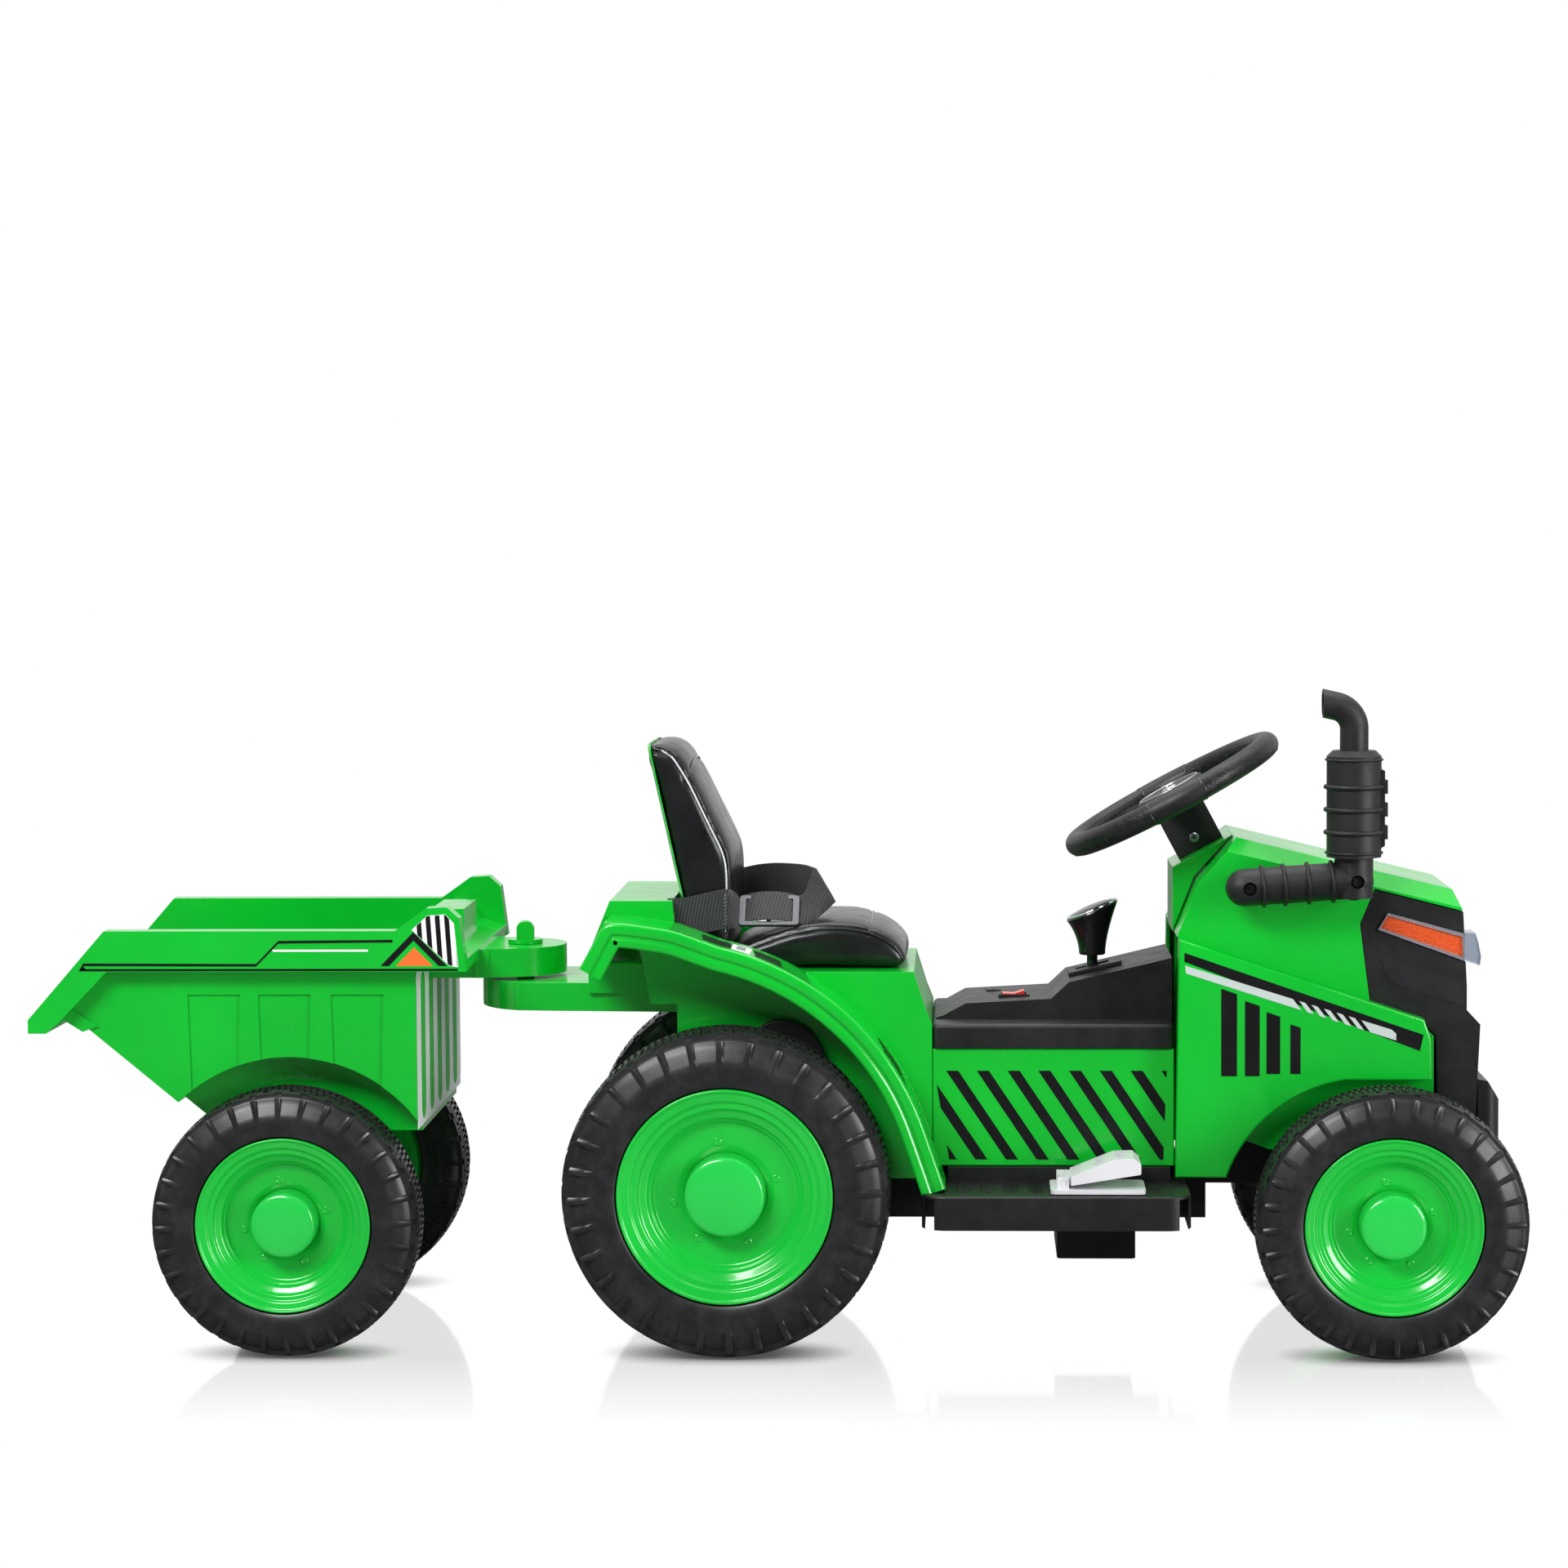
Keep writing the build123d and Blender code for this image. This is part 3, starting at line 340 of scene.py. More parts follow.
def prism(name, outline, y_low, y_high, material, body, slot, smooth=30.0):
    """A closed plate with an X, Z outline between two Y planes, all in millimetres."""
    n = len(outline)
    verts = [(x * MM, y * MM, z * MM) for y in (y_low, y_high) for x, z in outline]
    faces = [tuple(range(n)), tuple(reversed(range(n, 2 * n)))] + quads(2, n)
    return piece(name, verts, faces, material, body, smooth)


def tube(name, path, radius, material, body, sides=8, closed=False):
    """A round tube along points in metres."""
    path = [Vector(p) for p in path]
    count = len(path)
    verts = []
    up = None
    for k, point in enumerate(path):
        ahead = path[(k + 1) % count] if closed or k + 1 < count else point
        behind = path[k - 1] if closed or k > 0 else point
        along = (ahead - behind).normalized()
        up = along.orthogonal() if up is None else up
        up = (up - along * up.dot(along)).normalized()
        across = along.cross(up)
        verts += [point + (up * u + across * v) * radius for u, v in circle(sides)]
    faces = quads(count, sides, closed)
    if not closed:
        faces += [tuple(range(sides)), tuple(range((count - 1) * sides, count * sides))]
    return piece(name, verts, faces, material, body, 60.0)


def loft(name, rows, material, body, smooth=35.0):
    """A closed skin over rows of points, each row a closed loop, with flat ends."""
    size = len(rows[0])
    verts = [p for row in rows for p in row]
    last = (len(rows) - 1) * size
    faces = quads(len(rows), size) + [tuple(reversed(range(size))), tuple(range(last, last + size))]
    return piece(name, verts, faces, material, body, smooth)


def catmull(points, steps):
    """Smooth a list of vectors with a curve that passes through each of them."""
    result = []
    for k in range(len(points) - 1):
        p0, p1, p2 = points[max(k - 1, 0)], points[k], points[k + 1]
        p3 = points[min(k + 2, len(points) - 1)]
        for i in range(steps):
            t = i / steps
            result.append(0.5 * (2 * p1 + (p2 - p0) * t + (2 * p0 - 5 * p1 + 4 * p2 - p3) * t * t
                                 + (3 * p1 - p0 - 3 * p2 + p3) * t ** 3))
    return result + [points[-1]]


def clip(outline, window):
    """Cut an X, Z outline to a convex window listed clockwise."""
    for a, b in zip(window, window[1:] + window[:1]):
        kept = []
        inside = [(b[0] - a[0]) * (p[1] - a[1]) - (b[1] - a[1]) * (p[0] - a[0]) <= 0 for p in outline]
        for k, p in enumerate(outline):
            q, q_in = outline[k - 1], inside[k - 1]
            if inside[k] != q_in:
                edge = ((b[0] - a[0]), (b[1] - a[1]))
                over = edge[0] * (q[1] - a[1]) - edge[1] * (q[0] - a[0])
                rise = edge[0] * (p[1] - q[1]) - edge[1] * (p[0] - q[0])
                t = -over / rise
                kept.append((q[0] + (p[0] - q[0]) * t, q[1] + (p[1] - q[1]) * t))
            if inside[k]:
                kept.append(p)
        outline = kept
        if not outline:
            break
    return outline


# ---- carried-over CAD nodes ----------------------------------------------------
def dress(node, material, bevel=1.0, angle=28.0, crease=True):
    """Give a CAD node its material and softly rounded edges."""
    obj = NODES[node]
    obj.data.materials.clear()
    obj.data.materials.append(material)
    if "custom_normal" in obj.data.attributes:
        obj.data.attributes.remove(obj.data.attributes["custom_normal"])
    obj.data.shade_smooth()
    weld = obj.modifiers.new("weld", "WELD")
    weld.merge_threshold = 0.00002
    flat = obj.modifiers.new("flat", "DECIMATE")
    flat.decimate_type = "DISSOLVE"
    flat.angle_limit = radians(0.4)
    if bevel:
        edge = obj.modifiers.new("edge", "BEVEL")
        edge.width = bevel * MM
        edge.segments = 3
        edge.limit_method = "ANGLE"
        edge.angle_limit = radians(angle)
        edge.harden_normals = True
        edge.use_clamp_overlap = True
    elif crease:
        split = obj.modifiers.new("crease", "EDGE_SPLIT")
        split.split_angle = radians(angle)


green_nodes = {"rear_body": 1.2, "mid_body": 1.5, "hood_shell": 0.8, "hood_panels": 0,
               "dash_binnacle": 3.0, "hitch_plate": 2.0, "trailer_tub": 1.2, "hitch_pin": 0.8}
for node, bevel in green_nodes.items():
    dress(node, green, bevel)
for material, bevel, nodes in (
        (black, 0.8, ("centre_console", "footboard_left", "footboard_right", "chassis_pan", "battery_box",
                      "shifter_gate", "front_grille", "gear_motor", "trailer_frame")),
        (black_matt, 0.6, ("exhaust_arm", "exhaust_can", "steering_hub")),
        (charcoal, 2.0, ("front_bumper",)), (charcoal, 1.0, ("battery",)),
        (white, 0.8, ("pedal", "pedal_base")), (red, 0.6, ("rocker_switch",)),
        (steel, 0.3, ("rear_axle", "front_axle_beam", "knuckle_left", "knuckle_right", "steering_rod",
                      "tie_rod", "trailer_axle")),
        # The exhaust screws' steel is painted dark: painted shade of their deep holes.
        (steel_painted_shade, 0.3, ("body_screws",)), (buckle_steel, 0.8, ("belt_buckle",)),
        (chrome, 0.3, ("horn_button_left", "horn_button_right"))):
    for node in nodes:
        dress(node, material, bevel)
dress("steering_rim", grip_black, 0, crease=False)


# ---- wheels --------------------------------------------------------------------
TEETH = 128
RIDGE_EVERY = 4


def tyre(label, body, centre, side, radius, inner_y, outer_y, bead):
    """A moulded tyre with shoulder ridges and a three-row block tread."""
    middle, half = (inner_y + outer_y) / 2, (outer_y - inner_y) / 2
    groove = 2.2
    base = radius - groove
    # (offset from the middle plane, radius, ridge height, tread row)
    wall = [(half - 8, bead, 0, 0), (half - 3.4, bead + 0.6, 0, 0), (half - 2.0, bead + 3, 0, 0),
            (half - 1.4, bead + 8, 0, 0), (half - 0.8, radius * 0.76, 0, 0),
            (half - 1.2, radius * 0.81, 0, 0), (half - 2.4, radius * 0.835, 1.2, 0),
            (half - 4.0, radius * 0.865, 3.0, 0), (half - 5.6, radius * 0.895, 4.6, 0),
            (half - 7.2, radius * 0.922, 6.0, 0), (half - 8.8, radius * 0.938, 7.0, 0),
            (half - 9.2, radius * 0.943, 0, 0), (half - 9.5, base - 4.0, 0, 0)]
    tread = [(half - 9.8, base - 2.4, 0, 0), (half - 10, base - 2.4, 0, 1),
             (half - 13.5, base - 1.7, 0, 1), (half - 13.7, base - 1.7, 0, 0),
             (half - 15.3, base - 1.4, 0, 0), (half - 15.5, base - 1.4, 0, 2),
             (half - 19, base - 0.7, 0, 2), (half - 19.2, base - 0.7, 0, 0),
             (half - 21, base - 0.5, 0, 0), (half - 21.2, base - 0.5, 0, 3),
             (2, base, 0, 3), (1.8, base, 0, 0)]
    one_side = wall + tread
    section = [(y, r, h, row, 1) for y, r, h, row in one_side]
    section += [(-y, r, h, row, -1) for y, r, h, row in reversed(one_side)]
    steps = [(k + f, k) for k in range(TEETH) for f in (0.04, 0.46, 0.54, 0.96)]
    verts = []
    for y, r, ridge, row, hand in section:
        for index, (turn, tooth) in enumerate(steps):
            first_half = index % 4 < 2
            # Rows 1 and 2 are dashes three teeth long, laid like brickwork.
            raised = {0: False, 1: tooth % 4 != 0, 2: tooth % 4 != 2,
                      3: first_half == (hand > 0)}[row]
            out = r + (groove if raised else 0)
            across = y
            if ridge and tooth % RIDGE_EVERY == 0:
                lift = ridge * (1.0 if index % 4 in (1, 2) else 0.7)
                across = hand * min(abs(y) + lift * 0.85, half - 0.3)
                out = min(r + lift * 0.3, base)
            a = tau * turn / TEETH
            verts.append((centre[0] + out * MM * cos(a), side * (middle + across) * MM,
                          centre[2] + out * MM * sin(a)))
    faces = quads(len(section), len(steps), True)
    made = piece(f"tread_{label}", verts, faces, tyre_black, body, 38.0)
    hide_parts(f"tyre_{label}")


# Rim dish as (depth behind the tyre face in mm, share of the rim's radius).
RIM_FACE = [(12, 1.0), (3.4, 1.0), (2.2, 0.99), (2.4, 0.972), (3.8, 0.962), (5.4, 0.885),
            (7.6, 0.868), (7.9, 0.815), (10.6, 0.797), (13.6, 0.722), (17.2, 0.706), (17.4, 0.688),
            (20.6, 0.668), (21.6, 0.63), (22.8, 0.45), (25.0, 0.395), (27.0, 0.37)]
RIM_BACK = [(31, 0.37), (29, 0.64), (21, 0.74), (14, 0.86), (12, 0.97)]


def rim(label, body, centre, side, edge, face_y, cap_r):
    """A stepped dish with a rolled edge, its barrel, and the domed hub cap."""
    face = rounded([(face_y - d, edge * share) for d, share in RIM_FACE], 1.5)
    back = [(face_y - d, edge * share) for d, share in RIM_BACK]
    made = lathe(f"rim_shell_{label}", face + back, centre, side, rim_green, body)
    barrel = [(127.5, 7), (168, 7), (168, 17), (166, 19), (164, edge - 14), (150, edge - 2),
              (184, edge - 2), (184, edge - 0.6), (140, edge - 0.6), (136, edge - 4), (160, edge - 20),
              (160, 22), (157, 17), (127.5, 16)]
    lathe(f"rim_barrel_{label}", barrel, centre, side, rim_green, body, 96)
    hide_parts(f"rim_{label}")
    dome = [(170, cap_r), (193, cap_r - 0.9), (195.6, cap_r - 1.7), (197.0, cap_r - 4.6),
            (198.0, cap_r * 0.62), (198.4, cap_r * 0.3), (198.5, 0.05)]
    shell = rounded(dome, 2.0) + [(196.6, 0.05), (195, cap_r - 5.5), (170, cap_r - 2.2)]
    cap = lathe(f"cap_{label}", shell, centre, side, cap_green, body)
    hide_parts(f"hub_cap_{label}")
    # Round ejector marks in the dish.
    reach = (edge * 0.6 + cap_r) / 2 * MM
    floor_y = face_y - 22.3
    spot = [(floor_y - 2, 0.1), (floor_y - 2, 3.4), (floor_y + 0.3, 3.3), (floor_y + 0.7, 2.7),
            (floor_y + 0.3, 2.2), (floor_y + 0.2, 0.1)]
    for k, turn in enumerate((98, 17, 190, 238, 295)):
        a = radians(turn)
        middle = (centre[0] + reach * cos(a), 0, centre[2] + reach * sin(a))
        lathe(f"mark_{label}_{k}", spot, middle, side, rim_green, body, 24)


OUTER_FACE = 200
REAR_RIM, SMALL_RIM = (95.0, 36.0), (77.5, 29.3)  # edge radius and hub cap radius
for place in ("rear", "front", "trailer"):
    for hand, side in SIDES:
        label = f"{place}_{hand}"
        low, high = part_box(f"tyre_{label}")
        centre = (low + high) / 2
        radius = (high[2] - low[2]) / 2 / MM
        inner_y = min(abs(low[1]), abs(high[1])) / MM
        edge, cap_r = REAR_RIM if place == "rear" else SMALL_RIM
        tyre(label, f"wheel_{label}", centre, side, radius, inner_y, OUTER_FACE, edge + 0.8)
        rim(label, f"wheel_{label}", centre, side, edge, OUTER_FACE - 0.5, cap_r)


# ---- seat ------------------------------------------------------------------------
PAD_COLUMNS = 21
PAD_VOXEL, SWELL_CAP = 0.0045, 0.0025
SEAM_DEPTH, SEAM_REACH = 0.0016, 0.0035
PIPING_RADIUS, PIPING_SINK = 0.0009, 0.0007


def crown(share):
    """How far a padded face has risen at a share of its half-width, from 1 to 0."""
    return (1 - min(abs(share), 1.0) ** 2.6) ** 0.7


def pad_form(name, rows, material, body):
    """A closed pad from rows of (half-width, back (u, v), edge (u, v), crown (u, v)) in X and Z."""
    loops = []
    for half, back, edge, top in rows:
        shares = [2 * k / (PAD_COLUMNS - 1) - 1 for k in range(PAD_COLUMNS)]
        loop = [(back[0], half * share, back[1]) for share in shares]
        loop += [(edge[0] + (top[0] - edge[0]) * crown(share), half * share,
                  edge[1] + (top[1] - edge[1]) * crown(share)) for share in reversed(shares)]
        loops.append([Vector(p) * MM for p in loop])
    made = loft(name, loops, material, body)
    # The end faces are strips from the back to the crown, not one many-sided face.
    mesh = bmesh.new()
    mesh.from_mesh(made.data)
    bmesh.ops.delete(mesh, geom=[f for f in mesh.faces if len(f.verts) > 4], context="FACES_ONLY")
    mesh.verts.ensure_lookup_table()
    size = 2 * PAD_COLUMNS
    for start in (0, (len(rows) - 1) * size):
        for k in range(PAD_COLUMNS - 1):
            ring = [start + k, start + k + 1, start + size - 2 - k, start + size - 1 - k]
            mesh.faces.new([mesh.verts[i] for i in ring])
    bmesh.ops.recalc_face_normals(mesh, faces=mesh.faces)
    mesh.to_mesh(made.data)
    mesh.free()
    return made


def applied(obj):
    """Replace an object's mesh by the one its modifiers give."""
    shape = bpy.data.meshes.new_from_object(obj.evaluated_get(bpy.context.evaluated_depsgraph_get()))
    obj.modifiers.clear()
    obj.data = shape


def swell(obj):
    """Puff a pad up by a short cloth simulation under pressure, then smooth it."""
    remesh = obj.modifiers.new("remesh", "REMESH")
    remesh.mode = "VOXEL"
    remesh.voxel_size = PAD_VOXEL
    applied(obj)
    cloth = obj.modifiers.new("cloth", "CLOTH")
    cloth.settings.use_pressure = True
    cloth.settings.uniform_pressure_force = 4.0
    cloth.settings.tension_stiffness = 25.0
    cloth.settings.effector_weights.gravity = 0.0
    for step in range(1, 21):
        SCENE.frame_set(step)
    blown = obj.evaluated_get(bpy.context.evaluated_depsgraph_get()).to_mesh()
    moves = [after.co - before.co for after, before in zip(blown.vertices, obj.data.vertices)]
    obj.modifiers.clear()
    SCENE.frame_set(1)
    for vertex, move in zip(obj.data.vertices, moves):
        vertex.co += move * min(1.0, SWELL_CAP / max(move.length, 1e-9))
    soften = obj.modifiers.new("soften", "SMOOTH")
    soften.iterations = 6
    soften.factor = 0.5
    finer = obj.modifiers.new("finer", "SUBSURF")
    finer.levels = finer.render_levels = 1
    applied(obj)


def surface_of(obj):
    return BVHTree.FromPolygons([v.co for v in obj.data.vertices], [p.vertices for p in obj.data.polygons])


def seam_line(obj, path):
    """Points and normals of a seam that follows the pad's surface, smoothed along its run."""
    skin = surface_of(obj)
    found = [skin.find_nearest(p) for p in path]
    points, normals = [f[0] for f in found], [f[1] for f in found]
    for _ in range(10):
        for line in (points, normals):
            line[1:-1] = [(p + 2 * q + r) / 4 for p, q, r in zip(line, line[1:], line[2:])]
    return points, normals


def sew(obj, seam):
    """Pull the pad in along a seam."""
    points = seam[0]
    tree = BVHTree.FromPolygons(points + [p + Vector((0, 0, 1e-6)) for p in points],
                                [(k, k + 1, len(points) + k + 1) for k in range(len(points) - 1)])
    for vertex in obj.data.vertices:
        near = tree.find_nearest(vertex.co, 3 * SEAM_REACH)
        if near[0] is not None:
            vertex.co -= vertex.normal * SEAM_DEPTH * exp(-(near[3] / SEAM_REACH) ** 2)


def pipe_seam(name, seam, material):
    """Lay a round piping in the valley of a seam."""
    points = [p - n * PIPING_SINK for p, n in zip(*seam)]
    return tube(name, points, PIPING_RADIUS, material, "tractor")


def upholster(pad, seams, node):
    """Sew and pipe a pad along its seams, each given as a name, a path and the piping's material."""
    lines = {name: (seam_line(pad, path), finish) for name, (path, finish) in seams.items()}
    for line, _ in lines.values():
        sew(pad, line)
    pad.data.shade_smooth()
    for name, (line, finish) in lines.items():
        pipe_seam(name, line, finish)
    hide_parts(node)


def spread(points, steps=6):
    return catmull([Vector(p) * MM for p in points], steps)


BACK_ROWS = [  # half-width, rear, side seam and middle of the front, from the bottom up
    (76, (-82, 336), (-47, 336), (-43, 336)), (77, (-83, 365), (-45, 365), (-38, 365)),
    (77.5, (-84.5, 398), (-44, 400), (-37, 400)), (77.5, (-88, 417), (-44, 420), (-36.5, 422)),
    (77.5, (-92.5, 437), (-46.5, 437), (-38, 438)), (77.5, (-96.5, 455), (-54, 454), (-46, 456)),
    (77.5, (-100.5, 475), (-65, 476), (-57, 478)), (77.5, (-105, 495), (-74.5, 496), (-67, 499)),
    (77, (-109.5, 510), (-81, 508), (-74, 512.5)), (77, (-113, 521), (-87.5, 518.5), (-81, 524)),
    (76.5, (-115.5, 530), (-94, 527), (-88, 533)), (75.5, (-117, 537.5), (-102, 532), (-98, 537))]
CUSHION_ROWS = [  # half-width, underside, side seam and middle of the top, from the rear
    (78, (-40, 334), (-40, 348), (-40, 351)), (80, (-15, 334), (-13, 357), (-13, 361)),
    (80, (15, 334), (15, 366), (15, 371)), (80, (45, 334), (45, 370), (45, 375.5)),
    (80, (70, 334), (68, 368.8), (68, 375.5)), (79.5, (84, 334), (84, 365.8), (85, 372)),
    (79, (95, 333.5), (96, 360.3), (98, 367)), (79, (106, 333.5), (107.5, 353), (110.5, 358)),
    (78.5, (113, 333.5), (115.5, 344.5), (118, 348)), (77.5, (118, 333), (119.5, 336.5), (121, 337.5))]


def backrest():
    """The padded backrest with its seams and piping, on a moulded green shell."""
    back = pad_form("backrest_pad", BACK_ROWS, seat_black, "tractor")
    swell(back)
    sides = {hand: spread([(edge[0], side * (half + 1), edge[1]) for half, rear, edge, front
                           in BACK_ROWS[1:]]) for hand, side in SIDES}
    tops = {hand: spread([(x, side * 76.5, z) for x, z in
                          ((-113, 533), (-106, 532.5), (-99, 530.5), (-93, 525.5))]) for hand, side in SIDES}
    across = spread([(-79.5 + 5.5 * crown(k / 8), 77.5 * k / 8, 503 + 17 * crown(k / 8))
                     for k in range(-8, 9)], 3)
    seams = {}
    for hand, side in SIDES:
        # The side piping takes the pale copy, a painted highlight on its ridge.
        seams[f"backrest_piping_{hand}"] = (sides[hand], piping_painted_highlight)
        seams[f"backrest_top_piping_{hand}"] = (tops[hand], black_gloss)
    seams["backrest_cross_piping"] = (across, black_gloss)
    upholster(back, seams, "seat_backrest")

    # Moulded shell behind the pad, with its rim turned forward.
    rows = []
    foot_z, head_z, corner = 396, 534, 16
    for k in range(17):
        height = foot_z + (head_z - foot_z) * sin(k / 16 * pi / 2)
        lean = -88.2 - 0.2168 * (height - 397)
        half = 80.5 - corner * (1 - sqrt(1 - max(0.0, (height - head_z + corner) / corner) ** 2))
        shares = [j / 8 for j in range(-8, 9)]
        rear = [Vector((lean + 1.2 + 2.5 * abs(t) ** 8, half * t, height)) * MM for t in shares]
        front = [Vector((lean + 2.6 + 2.5 * abs(t) ** 8, (half - 2.2) * t, height)) * MM
                 for t in reversed(shares)]
        rows.append(rear + front)
    loft("backrest_shell", rows, green, "tractor", 40.0)


def cushion():
    """The seat pad, with side seams and a cross seam behind its front roll."""
    seat = pad_form("seat_pad", CUSHION_ROWS, seat_black, "tractor")
    swell(seat)
    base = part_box("seat_cushion")[0][2]
    for vertex in seat.data.vertices:
        vertex.co.z = max(vertex.co.z, base)
    sides = {hand: spread([(edge[0], side * (half + 1), edge[1] + 0.5) for half, low, edge, top
                           in CUSHION_ROWS]) for hand, side in SIDES}
    across = spread([(84 + crown(k / 8), 79 * k / 8, 366 + 7 * crown(k / 8)) for k in range(-8, 9)], 3)
    seams = {f"seat_piping_{hand}": (sides[hand], black_gloss) for hand, side in SIDES}
    seams["seat_cross_piping"] = (across, black_gloss)
    upholster(seat, seams, "seat_cushion")


def strap(name, stations, width, thick, body):
    """Flat webbing through stations of (centre, direction across) in millimetres."""
    centres = catmull([Vector(c) * MM for c, w in stations], 6)
    acrosses = [w.normalized() for w in catmull([Vector(w).normalized() for c, w in stations], 6)]
    section = [(-0.5, 0), (-0.485, 0.8), (-0.25, 1), (0, 1), (0.25, 1), (0.485, 0.8), (0.5, 0),
               (0.485, -0.8), (0.25, -1), (0, -1), (-0.25, -1), (-0.485, -0.8)]
    rows, marks, run = [], [], 0.0
    for k, (centre, across) in enumerate(zip(centres, acrosses)):
        ahead, behind = centres[min(k + 1, len(centres) - 1)], centres[max(k - 1, 0)]
        normal = (ahead - behind).cross(across).normalized()
        run += (centre - centres[k - 1]).length if k else 0.0
        rows.append([centre + across * s * width * MM + normal * h * thick / 2 * MM for s, h in section])
        marks += [(run, s * width * MM) for s, h in section]
    made = loft(name, rows, webbing, body, 50.0)
    layer = made.data.uv_layers.new(name="strap")
    for loop in made.data.loops:
        layer.data[loop.index].uv = marks[loop.vertex_index]
    return made


def lap_belt():
    """Webbing from both sides of the seat, folded on the cushion and held in a ladder buckle."""
    upright = (0, 0.1, 1)
    leaning = (0, 0.766, 0.643)
    fold = (-0.5, 0.1, 0.86)

    def in_buckle(x, lift, slide=4.0):
        # Lift is measured square to the buckle's plane, slide towards its far edge.
        return ((x, -60 - 0.643 * lift + 0.766 * slide, 383 + 0.766 * lift + 0.643 * slide), leaning)

    near = [((-97, -86.5, 379), upright), ((-80, -86.5, 380), upright), ((-62, -86, 384), upright),
            ((-50, -85.5, 386.5), upright), ((-42.5, -84, 387), (0, 0.2, 1)),
            ((-38.5, -79, 386), (0, 0.45, 0.9)), ((-36.5, -71, 384.5), (0, 0.6, 0.8)),
            ((-34.5, -64, 382), leaning)]
    held = [in_buckle(-33, -2.6), in_buckle(-27, -0.4), in_buckle(-19, 2.0), in_buckle(-7, 2.9),
            in_buckle(5, 2.0), in_buckle(13, -0.4), in_buckle(19, -2.6)]
    flap = [((27, -56, 385.5), (-0.12, 0.66, 0.74)), ((35, -48, 395), (-0.35, 0.4, 0.85)),
            ((41, -40.5, 402.5), fold), ((43, -38, 404), fold), ((42.6, -35.6, 404.3), fold),
            ((38, -29, 404), (-0.42, 0.05, 0.9)), ((29, -16, 403.5), (-0.25, 0, 1)),
            ((15, 5, 402.5), (-0.08, 0, 1)), ((-5, 30, 401), (0, 0, 1)), ((-21, 52, 398), (0, 0, 1)),
            ((-32, 71, 394.5), (0, 0, 1)), ((-40, 83, 392), (0, 0, 1)), ((-52, 86.5, 390), (0, 0, 1)),
            ((-75, 86.5, 386), (0, 0, 1)), ((-97, 86.5, 383), (0, 0, 1))]
    made = strap("belt_webbing", near + held + flap, 36.0, 1.7, "tractor")
    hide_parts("lap_belt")
    # Bar-tacked end of the near strap.
    for k in range(9):
        z = 373.5 + 3.2 * k
        y = -87.1 + 0.0175 * (z - 386)
        stitch = [(-46, y, z), (-44.9, y - 0.25, z + 0.9), (-44.2, y, z + 1.8)]
        tube(f"belt_stitch_{k}", [Vector(p) * MM for p in stitch], 0.45 * MM, film_grey, "tractor", 6)


# ---- controls --------------------------------------------------------------------
def gear_knob():
    """A bell-shaped knob whose bright-ringed top leans back towards the rider."""
    low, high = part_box("gear_lever")
    middle = (low[0] + high[0]) / 2 / MM
    slope = 0.4

    def ring(radius, height, tilt=1.0):
        return [Vector((middle + x, y, height + slope * x * tilt)) * MM for x, y in circle(48, radius)]

    def bell_ring(share, proud=0.0):
        return ring(12 + proud + 11.3 * share ** 1.7, 338 + (top - 338) * share, share)

    top = 377.0
    bell = [ring(11.3, 337, 0)] + [bell_ring(k / 12) for k in range(13)]
    bell += [ring(22.6, top + 1.4), ring(20.5, top + 1.8), ring(20.3, top - 1), ring(2, top - 1)]
    made = loft("knob_bell", bell, black_gloss, "lever")
    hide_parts("gear_lever")
    loft("knob_ring", [ring(20.2, top + 0.5), ring(22.7, top + 1.3), ring(22.9, top + 2.2),
                       ring(22.0, top + 3.0), ring(20.4, top + 2.6), ring(20.0, top + 1.5)],
         chrome, "lever")
    loft("knob_top", [ring(20.3, top), ring(20.2, top + 2.4), ring(18, top + 3.6), ring(13, top + 4.8),
                      ring(7, top + 5.4), ring(0.6, top + 5.6)], black_gloss, "lever")
    loft("lever_stem", [ring(r, z, 0) for r, z in ((4.9, 300), (4.9, 337.5), (3, 338))], black_gloss,
         "lever")
    tube("knob_parting_line", [bell_ring(k / 12, 0.15)[33 + k // 3] for k in range(13)], 0.25 * MM,
         charcoal, "lever", 6)


def wheel_plane(across, left, up):
    """A point of the steering wheel's own frame, in metres."""
    low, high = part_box("steering_rim")
    centre = (low + high) / 2
    tilt = radians(28)
    return centre + Vector((across * cos(tilt) - up * sin(tilt), left,
                            across * sin(tilt) + up * cos(tilt))) * MM


